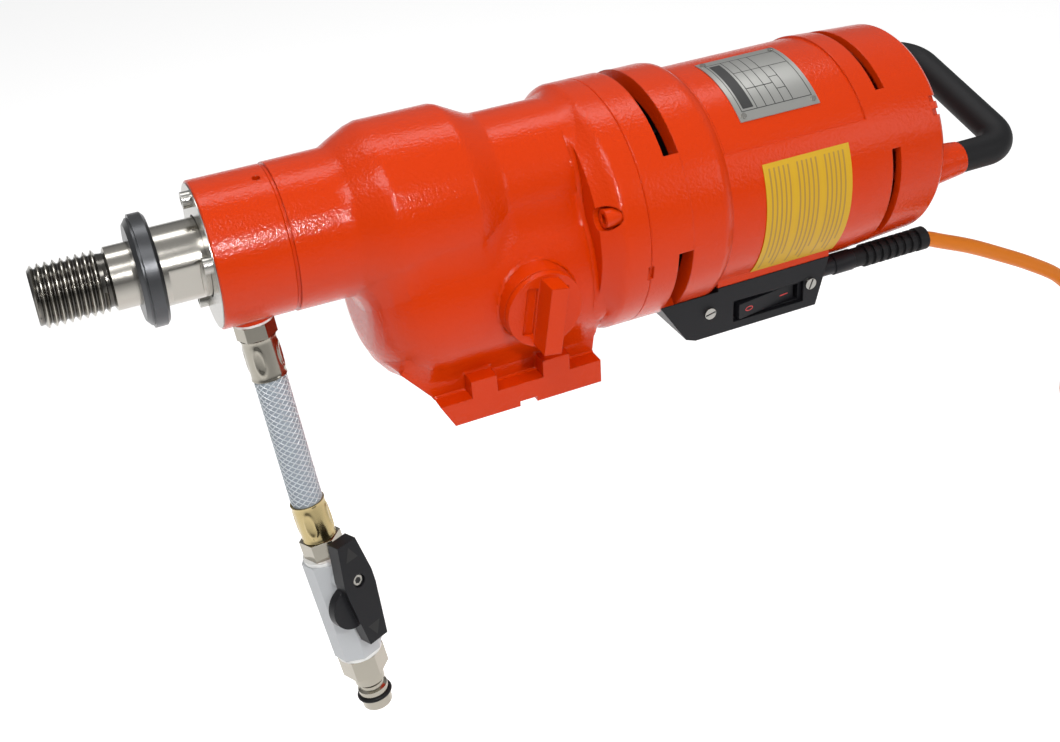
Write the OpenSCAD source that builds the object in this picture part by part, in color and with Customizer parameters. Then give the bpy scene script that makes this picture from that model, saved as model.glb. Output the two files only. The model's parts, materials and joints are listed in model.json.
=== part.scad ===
// Electric wet core drill motor with mounting foot, two speed gearbox, water feed and mains lead.
// Frame: origin at the centre of the foot's mounting face, +X from the threaded nose to the handle,
// +Z away from the foot, -Y towards the side with the speed selector. Millimetres.

/* [Spindle] */
// Outside diameter of the core bit thread
thread_d = 31.75; // [30:0.25:32]
// Length of the threaded end
thread_len = 33.5; // [26:0.5:40]
// Radius of the release ring
ring_r = 28.5; // [26:0.5:31]
// Distance across the wrench flats
flats_af = 36; // [34:0.5:38]

/* [Gear housing] */
// Metal between the gear space and the foot's mounting face
foot_floor = 10.5; // [10:0.1:14]
// Wall of the nose around the water seals
nose_wall = 10; // [9:0.25:12]
// Wall of the bump over the large spindle gear
bump_wall = 3.1; // [2.5:0.1:5]
// Least wall of the belly around the layshaft's gears
belly_wall = 1.5; // [1.5:0.1:4]
// Length of the mounting foot
foot_len = 86.5; // [82:0.5:92]
// Width of the mounting foot
foot_w = 101; // [98:1:110]
// Depth of the foot's key slot
key_depth = 3; // [2:0.5:4]
// Length of the selector knob's finger bar
knob_bar = 37; // [30:1:40]
// Radius of the selector knob
knob_r = 21.2; // [19:0.2:22]

/* [Motor] */
// Radius of the motor's front ring and flange
ring_flange_r = 68.5; // [68:0.25:71]
// Step from the front ring down to the motor body
ring_step = 4.5; // [3:0.25:6]
// Wall of the motor body
motor_wall = 6.1; // [5:0.1:8]
// Length of the motor from the flange seam to the rear rim
motor_len = 188; // [186:1:194]
// Reach of the carrying handle behind the rear rim
handle_reach = 58.5; // [52:0.5:70]
// Diameter of the handle bar
handle_d = 18; // [15:0.5:19]

/* [Switch] */
// Front end of the switch, counted from the nose
sw_x0 = 272; // [268:0.5:280]
// Length of the switch
sw_len = 49.5; // [46:0.5:54]

/* [Lines] */
// Diameter of the water hose
hose_d = 17; // [16:0.25:18]
// Length of the hose between the ferrules
hose_free = 75; // [65:1:90]
// Diameter of the mains cable
cable_d = 9; // [8:0.1:9.2]

/* [Output] */
// Sub-part to show, or all

/* [Hidden] */
$fn = 64;

// The foot's centre lies this far behind the nose's front edge
foot_x = 147.5;
nose_x = -foot_x;
// Gear train: modules, teeth and centre distances
m_out = 2.5;
z_sl = 33;
z_ll = 17;
z_sh = 25;
z_lh = 25;
m_in = 1.2;
z_ld = 48;
z_p = 12;
lay_drop = m_out * (z_sl + z_ll) / 2;
motor_drop = lay_drop - m_in * (z_ld + z_p) / 2;
belly_drop = 45;
function tip_r(m, z) = m * z / 2 + 0.85 * m;
// Room round the gears' tips
gear_air = 1.625;
case_l = tip_r(m_out, z_sl) + gear_air;
case_h = tip_r(m_out, z_lh) + gear_air;
fork_ro = 24;
case_f = max(tip_r(m_out, z_ll) + gear_air, fork_ro + 1.5);
case_d = tip_r(m_in, z_ld) + gear_air;
case_p = tip_r(m_in, z_p) + gear_air;
spindle_z = lay_drop + case_h + foot_floor;
spindle_r = 20;
seal_ro = spindle_r + 8;
nose_r = seal_ro + nose_wall;
cover_pcr = (seal_ro + nose_r) / 2 - 1.5;
cover_angles = [90, 18, -110, 198];
plate_t = 0.6;
bump_r = case_l + bump_wall;
belly_r = lay_drop - belly_drop + case_h + belly_wall;
foot_z = -spindle_z;
seam_x = 213;
ring_end = seam_x + 51;
rear_x = seam_x + motor_len;
motor_r = ring_flange_r - ring_step;
motor_bore = motor_r - motor_wall;
flange_pcr = ring_flange_r - 6.5;
lug_pcr = ring_flange_r - 8.5;
armature_r = motor_bore - 23.4;
foot_x0 = foot_x - foot_len / 2;
foot_x1 = foot_x + foot_len / 2;
// Selector knob axis and eccentric throw
knob_x = 154.3;
knob_z = -44.8;
throw_r = 7;
throw_a = 50;
throw_x = knob_x - throw_r * sin(throw_a);
fork_y = -34;
fork_z = -26;
// Cable entry: just clear of the motor's round on its near underside
cable_out = 1.95;
cable_angle = 52.38;
cab_y = -(ring_flange_r + cable_out) * cos(cable_angle);
cab_z = -motor_drop - (ring_flange_r + cable_out) * sin(cable_angle);
// Switch box: face and mid height follow the cable entry, the length follows the switch
sw_y = cab_y - 5.6;
sw_z = cab_z - 3;
box_x0 = sw_x0 - 43;
box_x1 = sw_x0 + sw_len + 14.5;
box_depth = 34.6;
box_screws = [sw_x0 - 13.4, sw_x0 + sw_len + 2.5];
gland_r = cable_d / 2 + 0.9;
cable_bore = cable_d / 2 + 0.2;
// Underside of the cast ledge that the switch box hangs from
ledge_h = 13.8;
// Water line: inlet point on the nose and the two axis directions
in_p = [17.3, -nose_r * cos(80), -nose_r * sin(80)];
ay1 = 168;
az1 = -70.6;
ay2 = 166.9;
az2 = -59.5;
d1 = [sin(ay1) * cos(az1), sin(ay1) * sin(az1), cos(ay1)];
d2 = [sin(ay2) * cos(az2), sin(ay2) * sin(az2), cos(ay2)];
fer_t = 33;
low_p = in_p + (fer_t + hose_free) * d1;
lever_turn = 9;
valve_s = 35;
pivot_off = 9;
pivot_s = valve_s + pivot_off;
ball_r = 7.5;

module place() translate([nose_x, 0, spindle_z]) children();

// Solid of revolution about the X axis from [radius, x] points
module rev(pts) rotate([0, 90, 0]) rotate_extrude() polygon(pts);

// Plain cylinder and tube along X
module xcyl(r, x0, x1) translate([x0, 0, 0]) rotate([0, 90, 0]) cylinder(r = r, h = x1 - x0);
module xtube(ro, ri, x0, x1) difference() {
  xcyl(ro, x0, x1);
  xcyl(ri, x0 - 1, x1 + 1);
}
module about_motor() translate([0, 0, -motor_drop]) children();
module about_lay() translate([0, 0, -lay_drop]) children();

// Point at an angle round X, 0 towards -Y and 90 upwards
function polar(r, a) = [-r * cos(a), r * sin(a)];
module at_polar(r, a, x) translate([x, -r * cos(a), r * sin(a)]) children();

// Wedge prism between two angles round X, used to cut ring sectors
module wedge(a0, a1, x0, x1, r) translate([x0, 0, 0]) rotate([90, 0, 90]) linear_extrude(x1 - x0)
  polygon(concat([[0, 0]], [for (k = [0:6]) polar(r, a0 + (a1 - a0) * k / 6)]));
module sector(ri, ro, a0, a1, x0, x1) intersection() {
  xtube(ro, ri, x0, x1);
  wedge(a0, a1, x0 - 1, x1 + 1, ro * 1.3);
}

// Involute spur gear outline with backlash, one tooth centred on +X
function inv_a(rb, r) = r <= rb ? 0 : sqrt(pow(r / rb, 2) - 1) * 180 / PI - acos(rb / r);
function half_a(m, z, r, bl) = let(rp = m * z / 2, rb = rp * cos(20))
  90 / z - bl / rp / 2 * 180 / PI + inv_a(rb, rp) - inv_a(rb, r);
function tooth_radii(m, z) = let(rp = m * z / 2, rb = rp * cos(20), rf = rp - 1.2 * m, ra = rp + 0.85 * m)
  [rf, max(rb, rf + 0.1 * m), rp, ra];
function gear_pts(m, z, bl) = [for (k = [0:z - 1]) each let(rr = tooth_radii(m, z)) concat(
  [for (i = [0:3]) let(a = 360 * k / z - half_a(m, z, rr[i], bl)) rr[i] * [cos(a), sin(a)]],
  [for (i = [3:-1:0]) let(a = 360 * k / z + half_a(m, z, rr[i], bl)) rr[i] * [cos(a), sin(a)]])];
module gear(m, z, bl, x0, x1, turn) translate([x0, 0, 0]) rotate([0, 90, 0]) rotate([0, 0, turn])
  linear_extrude(x1 - x0) polygon(gear_pts(m, z, bl));

// Frames along the water line
module along1(t) translate(in_p + t * d1) rotate([0, ay1, az1]) children();
module along2(s) translate(low_p + s * d2) rotate([0, ay2, az2]) rotate([0, 0, lever_turn]) children();

module gear_housing() color([0.86, 0.27, 0.13]) place() difference() {
  union() {
    rev([[0, 37], [nose_r - 0.8, 37], [nose_r - 0.8, 38.6], [nose_r + 0.5, 38.6], [nose_r + 0.8, 69],
      [bump_r - 5.9, 75.5], [bump_r - 1.6, 84.5], [bump_r, 90], [bump_r, 129], [bump_r - 0.8, 132],
      [39.6, 146.5], [38.4, 150.5], [38.4, 200], [0, 200]]);
    translate([0, 0, -belly_drop]) rev(concat([[0, 73]], [for (k = [0:6])
      [belly_r - 33 + 33 * sin(15 * k), 106 - 33 * cos(15 * k)]], [[belly_r, 192], [0, 192]]));
    about_motor() rev([[0, 188.5], [ring_flange_r - 8, 188.5], [ring_flange_r - 5.6, 192.5],
      [ring_flange_r - 3, 195.6], [ring_flange_r - 1, 198.2], [ring_flange_r, 200.8],
      [ring_flange_r, seam_x - 0.5], [ring_flange_r - 0.5, seam_x], [0, seam_x]]);
    foot_block();
    translate([knob_x, -30, knob_z]) rotate([90, 0, 0])
      cylinder(r1 = knob_r + 2.2, r2 = knob_r + 0.1, h = 30.5);
  }
  gear_cavity();
  // Key slot across the mounting face
  translate([foot_x - 5, -foot_w / 2 - 1, foot_z - 1]) cube([10, foot_w + 2, key_depth + 1]);
  // Four tapped mounting holes in the foot's face
  for (sx = [-1, 1], sy = [-1, 1]) translate([foot_x + sx * 30, sy * 35, foot_z - 1])
    cylinder(r = 3.4, h = 15);
  // Screw scallops and screw holes in the flange
  about_motor() for (a = [20, 160]) {
    at_polar(flange_pcr, a, 180) rotate([0, 90, 0]) cylinder(r = 6.2, h = 19.4);
    at_polar(flange_pcr, a, 190) rotate([0, 90, 0]) cylinder(r = 3.05, h = 30);
  }
  about_motor() for (a = [-40, 220]) at_polar(lug_pcr, a, 200) rotate([0, 90, 0])
    cylinder(r = 3.05, h = 20);
  // Pry notch at the seam
  about_motor() at_polar(ring_flange_r, -10, seam_x - 2) rotate([-10, 0, 0]) translate([0, -2, -4])
    cube([3, 4, 8]);
}

module foot_block() {
  difference() {
    union() {
      translate([0, foot_w / 2, 0]) rotate([90, 0, 0]) linear_extrude(foot_w)
        polygon([[foot_x0 + 0.8, foot_z], [foot_x1, foot_z],
          [foot_x1, foot_z + 14], [foot_x0 - 6.5, foot_z + 14]]);
      translate([0, 40.5, 0]) rotate([90, 0, 0]) linear_extrude(81)
        polygon([[foot_x0 - 6.5, foot_z + 14], [foot_x1, foot_z + 14], [foot_x1 + 4, -68],
          [foot_x0 - 18, -68], [foot_x0 - 23, -74]]);
      for (sy = [-1, 1], xx = [[foot_x0 + 11.5, 14.5], [foot_x0 + 52.5, 15.5]])
        translate([xx[0], sy > 0 ? 40 : -foot_w / 2, foot_z + 13]) cube([xx[1], foot_w / 2 - 40, 11]);
    }
    // Front of the web falls back to the belly's round front
    for (sy = [-1, 1]) translate([foot_x0 - 24, sy * 40.5, -80]) rotate([0, 0, sy * 35])
      translate([-20, sy > 0 ? 0 : -30, -1]) cube([30, 30, 30]);
  }
}

// Inside of the gear housing: bearing seats, gear space, shafts and selector
module gear_cavity() {
  rev([[0, 36], [31, 36], [31, 60], [25, 60], [25, 64], [34, 68], [34, 82], [case_l, 89], [case_l, 112],
    [case_h, 122], [case_h, 146], [27.5, 146], [27.5, 161], [18, 161], [18, 167], [0, 167]]);
  about_lay() rev([[0, 78], [17.5, 78], [17.5, 89], [case_f, 89], [case_f, 118], [case_h, 127], [case_h, 143],
    [26, 143], [26, 170], [case_d, 171], [case_d, 187], [17.5, 187], [17.5, 199], [0, 199]]);
  about_motor() rev([[0, 168], [case_p, 168], [case_p, 187], [11, 187], [11, 200], [20, 200],
    [20, seam_x + 1], [0, seam_x + 1]]);
  translate([105, fork_y - 8.5, fork_z - 30]) cube([38, 8.5 - fork_y, 39]);
  translate([142, fork_y - 8.5, fork_z - 30]) cube([45, 18.5, 39]);
  translate([180, fork_y, fork_z]) rotate([0, 90, 0]) cylinder(r = 4, h = 14);
  translate([knob_x, -30, knob_z]) rotate([90, 0, 0]) cylinder(r = 8, h = 40);
}

module nose_housing() color([0.86, 0.27, 0.13]) place() difference() {
  union() {
    rev([[20.6, 0], [nose_r - 0.6, 0], [nose_r, 0.6], [nose_r, 36.4], [nose_r - 0.6, 37], [30.95, 37],
      [30.95, 42], [20.6, 42]]);
    along1(-9) cylinder(r = 10.2, h = 9.9);
  }
  rev([[0, -1], [seal_ro, -1], [seal_ro, 8], [24.5, 8], [24.5, 28], [seal_ro, 28], [seal_ro, 36],
    [20.6, 36], [20.6, 50], [0, 50]]);
  along1(-22) cylinder(r = 4.5, h = 30);
  at_polar(nose_r - 5, 79.4, 31.2) rotate([10.6, 0, 0]) cylinder(r = 2, h = 12);
  for (a = cover_angles) at_polar(cover_pcr, a, -1) rotate([0, 90, 0]) cylinder(r = 2.05, h = 13);
}

module cover_plate() color([0.72, 0.72, 0.7]) place() difference() {
  xtube(nose_r - 1.2, 21, -plate_t, 0);
  for (a = cover_angles) at_polar(cover_pcr, a, -3) rotate([0, 90, 0]) cylinder(r = 2.6, h = 6);
}

module cover_screws() color([0.7, 0.7, 0.7]) place() for (a = cover_angles)
  at_polar(cover_pcr, a, -plate_t - 4.5) rotate([0, 90, 0]) difference() {
    union() {
      cylinder(r = 4.2, h = 4.5);
      cylinder(r = 2, h = 16);
    }
    translate([0, 0, -1]) cylinder(r = 2.3, h = 3.4, $fn = 6);
  }

module water_seals() color([0.1, 0.1, 0.1]) place() {
  xtube(seal_ro, spindle_r + 0.05, 0.1, 7.9);
  xtube(seal_ro, spindle_r + 0.05, 28.1, 35.9);
}

module spindle_bearings() color([0.6, 0.6, 0.62]) place() {
  xtube(31, 17.55, 46, 60);
  xtube(27.5, 15.05, 147, 160);
}

module spindle() color([0.62, 0.61, 0.58]) place() difference() {
  rev([[4.5, -49 - thread_len], [thread_d / 2 - 2, -49 - thread_len], [thread_d / 2, -47 - thread_len],
    [thread_d / 2, -48.6], [13.4, -47.9], [13.4, -46.9], [14.6, -46.5], [16, -45.8], [16, -23.3],
    [spindle_r - 0.8, -23.3], [spindle_r, -22.5], [spindle_r, 40], [17.5, 40], [17.5, 66], [17, 66],
    [17, 146.5], [15, 146.5], [15, 162], [4.5, 162]]);
  xcyl(4.5, 24, 170);
  translate([17.3, 0, 0]) cylinder(r = 2.5, h = 50, center = true);
  rotate([9, 0, 0]) for (s = [-1, 1]) translate([-20, s > 0 ? flats_af / 2 : -30 - flats_af / 2, -30])
    cube([15, 30, 60]);
}

module release_ring() color([0.13, 0.13, 0.14]) place()
  rev([[16.05, -34.3], [ring_r - 4.2, -34.3], [ring_r - 1.6, -32.2], [ring_r - 1.6, -31], [ring_r, -31],
    [ring_r, -25], [ring_r - 1.8, -23.4], [16.05, -23.4]]);

module spindle_gear_low() color([0.55, 0.55, 0.56]) place() difference() {
  gear(m_out, z_sl, 0.3, 92, 106, 0);
  xcyl(17, 80, 120);
}
module spindle_gear_high() color([0.55, 0.55, 0.56]) place() difference() {
  gear(m_out, z_sh, 0.3, 129.3, 141.3, 0);
  xcyl(17, 120, 150);
}
module lay_bearings() color([0.6, 0.6, 0.62]) place() about_lay() {
  xtube(17.5, 7.55, 78, 88);
  xtube(17.5, 7.55, 188, 198);
}
module layshaft() color([0.62, 0.61, 0.58]) place() about_lay()
  rev([[0, 78], [7.5, 78], [7.5, 88.4], [12, 88.4], [12, 172], [10, 172],
    [10, 187.6], [7.5, 187.6], [7.5, 198.4], [0, 198.4]]);
module lay_drive_gear() color([0.55, 0.55, 0.56]) place() about_lay() difference() {
  gear(m_in, z_ld, 0.2, 173, 185, 180 + 180 / z_ld);
  xcyl(10, 160, 200);
}
module lay_gear_low() color([0.55, 0.55, 0.56]) place() about_lay() difference() {
  gear(m_out, z_ll, 0.3, 92, 106, 180 + 180 / z_ll);
  xcyl(12.05, 80, 120);
}
module lay_gear_high() color([0.55, 0.55, 0.56]) place() about_lay() difference() {
  gear(m_out, z_lh, 0.3, 129.3, 141.3, 180 + 180 / z_lh);
  xcyl(12.05, 120, 150);
}
// Sliding sleeve with its fork groove, resting against the low gear
module shift_sleeve() color([0.5, 0.5, 0.52]) place() about_lay()
  rev([[12.05, 106.3], [20, 106.3], [20, 110.3], [16, 110.3], [16, 114.3],
    [20, 114.3], [20, 118.3], [12.05, 118.3]]);
module fork_rod() color([0.62, 0.61, 0.58]) place() translate([116, fork_y, fork_z]) rotate([0, 90, 0])
  cylinder(r = 3.98, h = 77.5);
// Fork: hub on the rod, arm and half ring in the sleeve's groove, slotted ear for the eccentric pin
module shift_fork() color([0.6, 0.55, 0.42]) place() difference() {
  union() {
    translate([110.6, fork_y, fork_z]) rotate([0, 90, 0]) cylinder(r = 7.3, h = throw_x + 6.5 - 110.6);
    translate([110.6, 0, -lay_drop]) rotate([90, 0, 90]) linear_extrude(3.4) difference() {
      union() {
        circle(r = fork_ro);
        polygon([[-22, 9.5], [-10, 21], [fork_y + 6.5, 40], [fork_y - 7, 36], [fork_y - 7, 31]]);
      }
      circle(r = 16.3);
      translate([0, -30]) square([40, 90]);
    }
    translate([throw_x - 6.5, fork_y - 4.5, knob_z - 2.2]) cube([13, 9, fork_z - knob_z - 1.8]);
  }
  translate([100, fork_y, fork_z]) rotate([0, 90, 0]) cylinder(r = 4.05, h = 70);
  translate([throw_x - 3.5, fork_y - 16, knob_z - 1.2]) cube([7, 30, 12]);
}
module selector_shaft() color([0.62, 0.61, 0.58]) place() {
  translate([knob_x, fork_y - 5.5, knob_z]) rotate([90, 0, 0]) cylinder(r = 7.95, h = 54.8 + fork_y);
  translate([throw_x, fork_y + 3.5, knob_z + throw_r * cos(throw_a)]) rotate([90, 0, 0])
    cylinder(r = 3, h = 9.5);
}
// Knob: round cap with a finger bar and a shallow pocket on each side of it
module selector_knob() color([0.86, 0.27, 0.13]) place() translate([knob_x, -60.8, knob_z])
  rotate([90, 0, 0]) difference() {
    union() {
      cylinder(r1 = knob_r, r2 = knob_r - 0.6, h = 3.2);
      rotate([0, 0, -9.6]) translate([-4.8, -knob_bar / 2, 0]) cube([9.6, knob_bar, 16.2]);
    }
    translate([0, 0, -1]) cylinder(r = 7.95, h = 1.2);
    for (s = [-1, 1]) rotate([0, 0, -9.6]) translate([s > 0 ? 5.6 : -11.4, -13, 1.5]) cube([5.8, 26, 5]);
  }

module motor_housing() color([0.86, 0.27, 0.13]) place() difference() {
  union() {
    // Ledge above the switch box
    translate([ring_end, sw_y - 1, sw_z + ledge_h]) cube([box_x1 - ring_end, 20, 20]);
    about_motor() difference() {
      rev([[motor_bore + 0.1, seam_x], [ring_flange_r - 0.5, seam_x], [ring_flange_r, seam_x + 0.5],
        [ring_flange_r, seam_x + 24.5], [ring_flange_r - 0.3, seam_x + 24.6],
        [ring_flange_r - 0.3, ring_end - 8], [ring_flange_r - 1, ring_end - 4.5],
        [motor_r + 1, ring_end - 1.2], [motor_r, ring_end], [motor_r, rear_x - 49],
        [motor_r - 0.6, rear_x - 39], [motor_r - 2.6, rear_x - 2], [motor_r - 4, rear_x],
        [16, rear_x], [16, rear_x + 1], [8, rear_x + 1], [8, rear_x - 3], [16.05, rear_x - 3],
        [16.05, rear_x - 14], [20, rear_x - 14], [20, rear_x - 8], [motor_bore + 0.1, rear_x - 8]]);
      // Recessed panel on the top for the nameplate
      sector(motor_r - 1, motor_r + 5, 34, 146, ring_end + 1, rear_x - 49);
      // Air slots behind the flange and near the rear
      for (s = [[40, 140], [-45, -4], [184, 225]])
        sector(motor_bore - 8, ring_flange_r + 12, s[0], s[1], seam_x + 15.9, seam_x + 24.5);
      for (s = [[47, 133], [-38, 16.5], [163.5, 218]])
        sector(motor_bore - 8, ring_flange_r + 12, s[0], s[1], rear_x - 36.2, rear_x - 30.4);
      // Intake slots in the rear wall
      for (a = [0:30:330]) at_polar(motor_bore - 19.9, a, rear_x - 9) rotate([-a, 0, 0])
        translate([0, -12, -2.2]) cube([12, 24, 4.4]);
      for (a = [29, 36]) at_polar(motor_r, a, rear_x - 5) rotate([-a, 0, 0])
        translate([0, -6, -1.7]) cube([8, 12, 3.4]);
      at_polar(ring_flange_r, -10, seam_x - 1) rotate([10, 0, 0]) translate([0, -2, -4]) cube([2.5, 4, 8]);
    }
    // Handle bosses on the rear wall
    for (q = handle_legs()) translate([rear_x - 8, q[0], q[1]]) rotate([0, 90, 0])
      cylinder(r1 = 13, r2 = 9.6, h = 30);
  }
  for (q = handle_legs()) translate([rear_x + 12, q[0], q[1]]) rotate([0, 90, 0]) cylinder(r = 6, h = 12);
  // Fixing lugs for the lower flange screws are seen only from inside
  about_motor() xcyl(motor_bore, seam_x - 1, rear_x - 14);
  about_motor() for (a = [-40, 220]) {
    at_polar(lug_pcr, a, seam_x - 1) rotate([0, 90, 0]) cylinder(r = 3.4, h = 8);
    at_polar(lug_pcr, a, seam_x + 5) rotate([0, 90, 0]) cylinder(r = 5.6, h = 14);
  }
  about_motor() for (a = [20, 160]) at_polar(flange_pcr, a, seam_x - 1) rotate([0, 90, 0])
    cylinder(r = 2.6, h = 13);
}
function handle_legs() = [[18 - motor_r, -motor_drop - 7.5], [motor_r - 18, 20.1 - motor_drop]];

module flange_screws() color([0.62, 0.2, 0.1]) place() about_motor() {
  for (a = [20, 160]) at_polar(flange_pcr, a, 191) rotate([0, 90, 0]) difference() {
    union() {
      cylinder(r = 5, h = 8.4);
      cylinder(r = 2.6, h = 33);
    }
    translate([0, 0, -1]) cylinder(r = 2.9, h = 4.5, $fn = 6);
  }
  for (a = [-40, 220]) at_polar(lug_pcr, a, 202) rotate([0, 90, 0]) {
    cylinder(r = 3, h = 16);
    translate([0, 0, 16]) cylinder(r = 5, h = 6);
  }
}
module armature_bearings() color([0.6, 0.6, 0.62]) place() about_motor() {
  xtube(20, 8.55, 200.4, 212.4);
  xtube(16.05, 6.05, rear_x - 13.5, rear_x - 3.5);
}
// Armature shaft with the motor pinion cut on its front end
module armature_shaft() color([0.62, 0.61, 0.58]) place() about_motor() union() {
  gear(m_in, z_p, 0.2, 172, 187.5, 0);
  rev([[0, 187], [8.5, 187], [8.5, rear_x - 14], [6, rear_x - 14], [6, rear_x - 4], [0, rear_x - 4]]);
}
module armature_core() color([0.45, 0.42, 0.4]) place() about_motor()
  xtube(armature_r, 8.5, ring_end + 6, rear_x - 58);
module commutator() color([0.72, 0.45, 0.25]) place() about_motor() xtube(18, 8.5, rear_x - 49, rear_x - 25);
fan_r = motor_bore - 3.9;
module fan() color([0.1, 0.1, 0.1]) place() about_motor() difference() {
  union() {
    xcyl(fan_r, seam_x + 27, seam_x + 30);
    xcyl(14, seam_x + 11, seam_x + 30);
    for (a = [0:30:330]) rotate([a, 0, 0]) translate([seam_x + 13, 10, -1]) cube([15, fan_r - 11, 2]);
  }
  xcyl(8.5, seam_x - 3, seam_x + 47);
}
module stator_core() color([0.4, 0.4, 0.42]) place() about_motor()
  xtube(motor_bore, armature_r + 1.5, ring_end + 4, rear_x - 56);
module field_coils() color([0.7, 0.4, 0.2]) place() about_motor() {
  xtube(motor_bore - 4.9, armature_r + 3.5, ring_end - 8, ring_end + 4);
  xtube(motor_bore - 4.9, armature_r + 3.5, rear_x - 56, rear_x - 46);
}
// Brush boxes reach in from the carrier ring to the commutator
arm_end = motor_bore - 11.9;
module brush_carrier() color([0.16, 0.14, 0.13]) place() about_motor() difference() {
  union() {
    xtube(motor_bore, motor_bore - 13.9, rear_x - 45, rear_x - 39);
    for (s = [-1, 1]) translate([rear_x - 45, s > 0 ? 20 : -arm_end, -7]) cube([18, arm_end - 20, 14]);
  }
  for (s = [-1, 1]) translate([rear_x - 42, s > 0 ? 15 : 4 - arm_end, -4]) cube([12, arm_end - 19, 8]);
}
module carbon_brushes() color([0.15, 0.15, 0.16]) place() about_motor() for (s = [-1, 1])
  translate([rear_x - 41.95, s > 0 ? 18.2 : 7.8 - arm_end, -3.95]) cube([11.9, arm_end - 26, 7.9]);

module nameplate() color([0.75, 0.75, 0.74]) place() about_motor()
  sector(motor_r - 0.97, motor_r - 0.4, 47.5, 93.5, ring_end + 16.5, ring_end + 65.5);
module nameplate_rivets() color([0.8, 0.8, 0.8]) place() about_motor()
  for (a = [50.5, 90.5], x = [ring_end + 19.5, ring_end + 62.5]) at_polar(motor_r - 0.37, a, x)
    rotate([90 - a, 0, 0]) cylinder(r = 1.6, h = 0.75);
label_gap = 0.2;
module blank_label() color([0.93, 0.74, 0.18]) place() about_motor()
  sector(motor_r + label_gap, motor_r + label_gap + 0.3, -38.6, 25.5, ring_end + 20, ring_end + 73.5);

// Switch box under the near side of the motor, its top follows the motor's round
module at_switch() place() translate([0, sw_y, sw_z]) children();
module box_outline() polygon([[box_x0, ledge_h], [box_x1, ledge_h], [box_x1 - 7.5, -15.5],
  [box_x0 + 21, -15.5], [box_x0 + 15, -13.2], [box_x0, 10.3]]);
module motor_round() translate([0, -sw_y, -motor_drop - sw_z]) {
  xcyl(motor_r + 0.02, ring_end, rear_x);
  xcyl(ring_flange_r + 0.02, seam_x - 13, ring_end);
}
module switch_box() color([0.09, 0.09, 0.1]) at_switch() difference() {
  translate([0, box_depth, 0]) rotate([90, 0, 0]) linear_extrude(box_depth) box_outline();
  motor_round();
  translate([sw_x0, -11.4, -11.7]) cube([sw_len, 30.2, 13.4]);
  for (x = box_screws) translate([x, 9.1, 0]) rotate([90, 0, 0]) cylinder(r = 1.7, h = 20);
  translate([box_x1 - 8, cab_y - sw_y, cab_z - sw_z]) rotate([0, 90, 0]) cylinder(r = gland_r + 0.02, h = 20);
}
module switch_cover() color([0.07, 0.07, 0.08]) at_switch() difference() {
  rotate([90, 0, 0]) linear_extrude(1.4) box_outline();
  motor_round();
  translate([sw_x0 + 2, -11.4, -10.7]) cube([sw_len - 3.5, 23, 13.5]);
  for (x = box_screws) translate([x, 8.6, 0]) rotate([90, 0, 0]) cylinder(r = 2.2, h = 20);
}
module switch_screws() color([0.7, 0.7, 0.7]) at_switch() for (x = box_screws) translate([x, 8.6, 0])
  rotate([90, 0, 0]) union() {
    cylinder(r = 1.65, h = 10.5);
    translate([0, 0, 10.05]) cylinder(r = 3.4, h = 1.4);
  }
module switch_body() color([0.12, 0.12, 0.13]) at_switch() difference() {
  translate([sw_x0 + 0.3, 1.4, -11.5]) cube([sw_len - 0.6, 17, 13]);
  translate([sw_x0 + 3.5, 0.6, -10]) cube([sw_len - 7, 10, 10]);
}
// Rocker turns about an upright pin at its middle
rock_h = (sw_len - 9.1) / 2;
module rocker() color([0.05, 0.05, 0.06]) at_switch() translate([sw_x0 + 4.5, 0, -9.7]) difference() {
  linear_extrude(9.4) polygon([[0, 4.4], [1, -2], [rock_h, 0.6], [2 * rock_h - 0.9, 3],
    [2 * rock_h + 0.1, 6], [rock_h, 6.4]]);
  translate([rock_h, 4.1, -5]) cylinder(r = 1.2, h = 20);
}

module cable_gland() color([0.07, 0.07, 0.08]) place() translate([0, cab_y, cab_z]) {
  difference() {
    union() {
      xcyl(gland_r, box_x1 - 7.5, box_x1 + 9);
      translate([box_x1 + 7, 0, 0]) rotate([0, 90, 0]) cylinder(r = gland_r + 0.8, h = 13, $fn = 12);
    }
    xcyl(cable_bore, box_x1 - 16, box_x1 + 24);
  }
}
module bend_relief() color([0.08, 0.08, 0.09]) place() translate([box_x1, cab_y, cab_z]) difference() {
  union() {
    rev([[0, 20], [gland_r + 0.3, 20], [gland_r + 0.3, 27], [gland_r - 0.1, 28], [gland_r - 0.1, 66],
      [0, 66]]);
    for (k = [0:6]) xcyl(gland_r + 1.3, 28.3 + 5.2 * k, 31.1 + 5.2 * k);
    xcyl(gland_r + 1.5, 65, 71);
  }
  xcyl(cable_bore, 14, 74);
  translate([60, 0, 0]) rotate([0, 90, 0]) cylinder(r1 = cable_bore, r2 = cable_bore + 1.1, h = 11.2);
}

// Tube skinned through rings along a path
function unit(v) = v / norm(v);
function tangent(p, i) = unit(i == 0 ? p[1] - p[0] : i == len(p) - 1 ? p[i] - p[i - 1] : p[i + 1] - p[i - 1]);
function side(t) = abs(t[2]) > 0.98 ? unit(cross(t, [1, 0, 0])) : unit(cross(t, [0, 0, 1]));
function ring_pts(p, i, r, n) = let(t = tangent(p, i), u = side(t), v = cross(t, u))
  [for (k = [0:n - 1]) p[i] + r * (cos(360 * k / n) * u + sin(360 * k / n) * v)];
module tube(p, r, n) let(c = len(p)) polyhedron(
  points = [for (i = [0:c - 1]) each ring_pts(p, i, r, n)],
  faces = concat([[for (k = [n - 1:-1:0]) k]],
    [for (i = [0:c - 2], k = [0:n - 1]) each [[i * n + k, i * n + (k + 1) % n, (i + 1) * n + k],
      [i * n + (k + 1) % n, (i + 1) * n + (k + 1) % n, (i + 1) * n + k]]],
    [[for (k = [0:n - 1]) (c - 1) * n + k]]));

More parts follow.
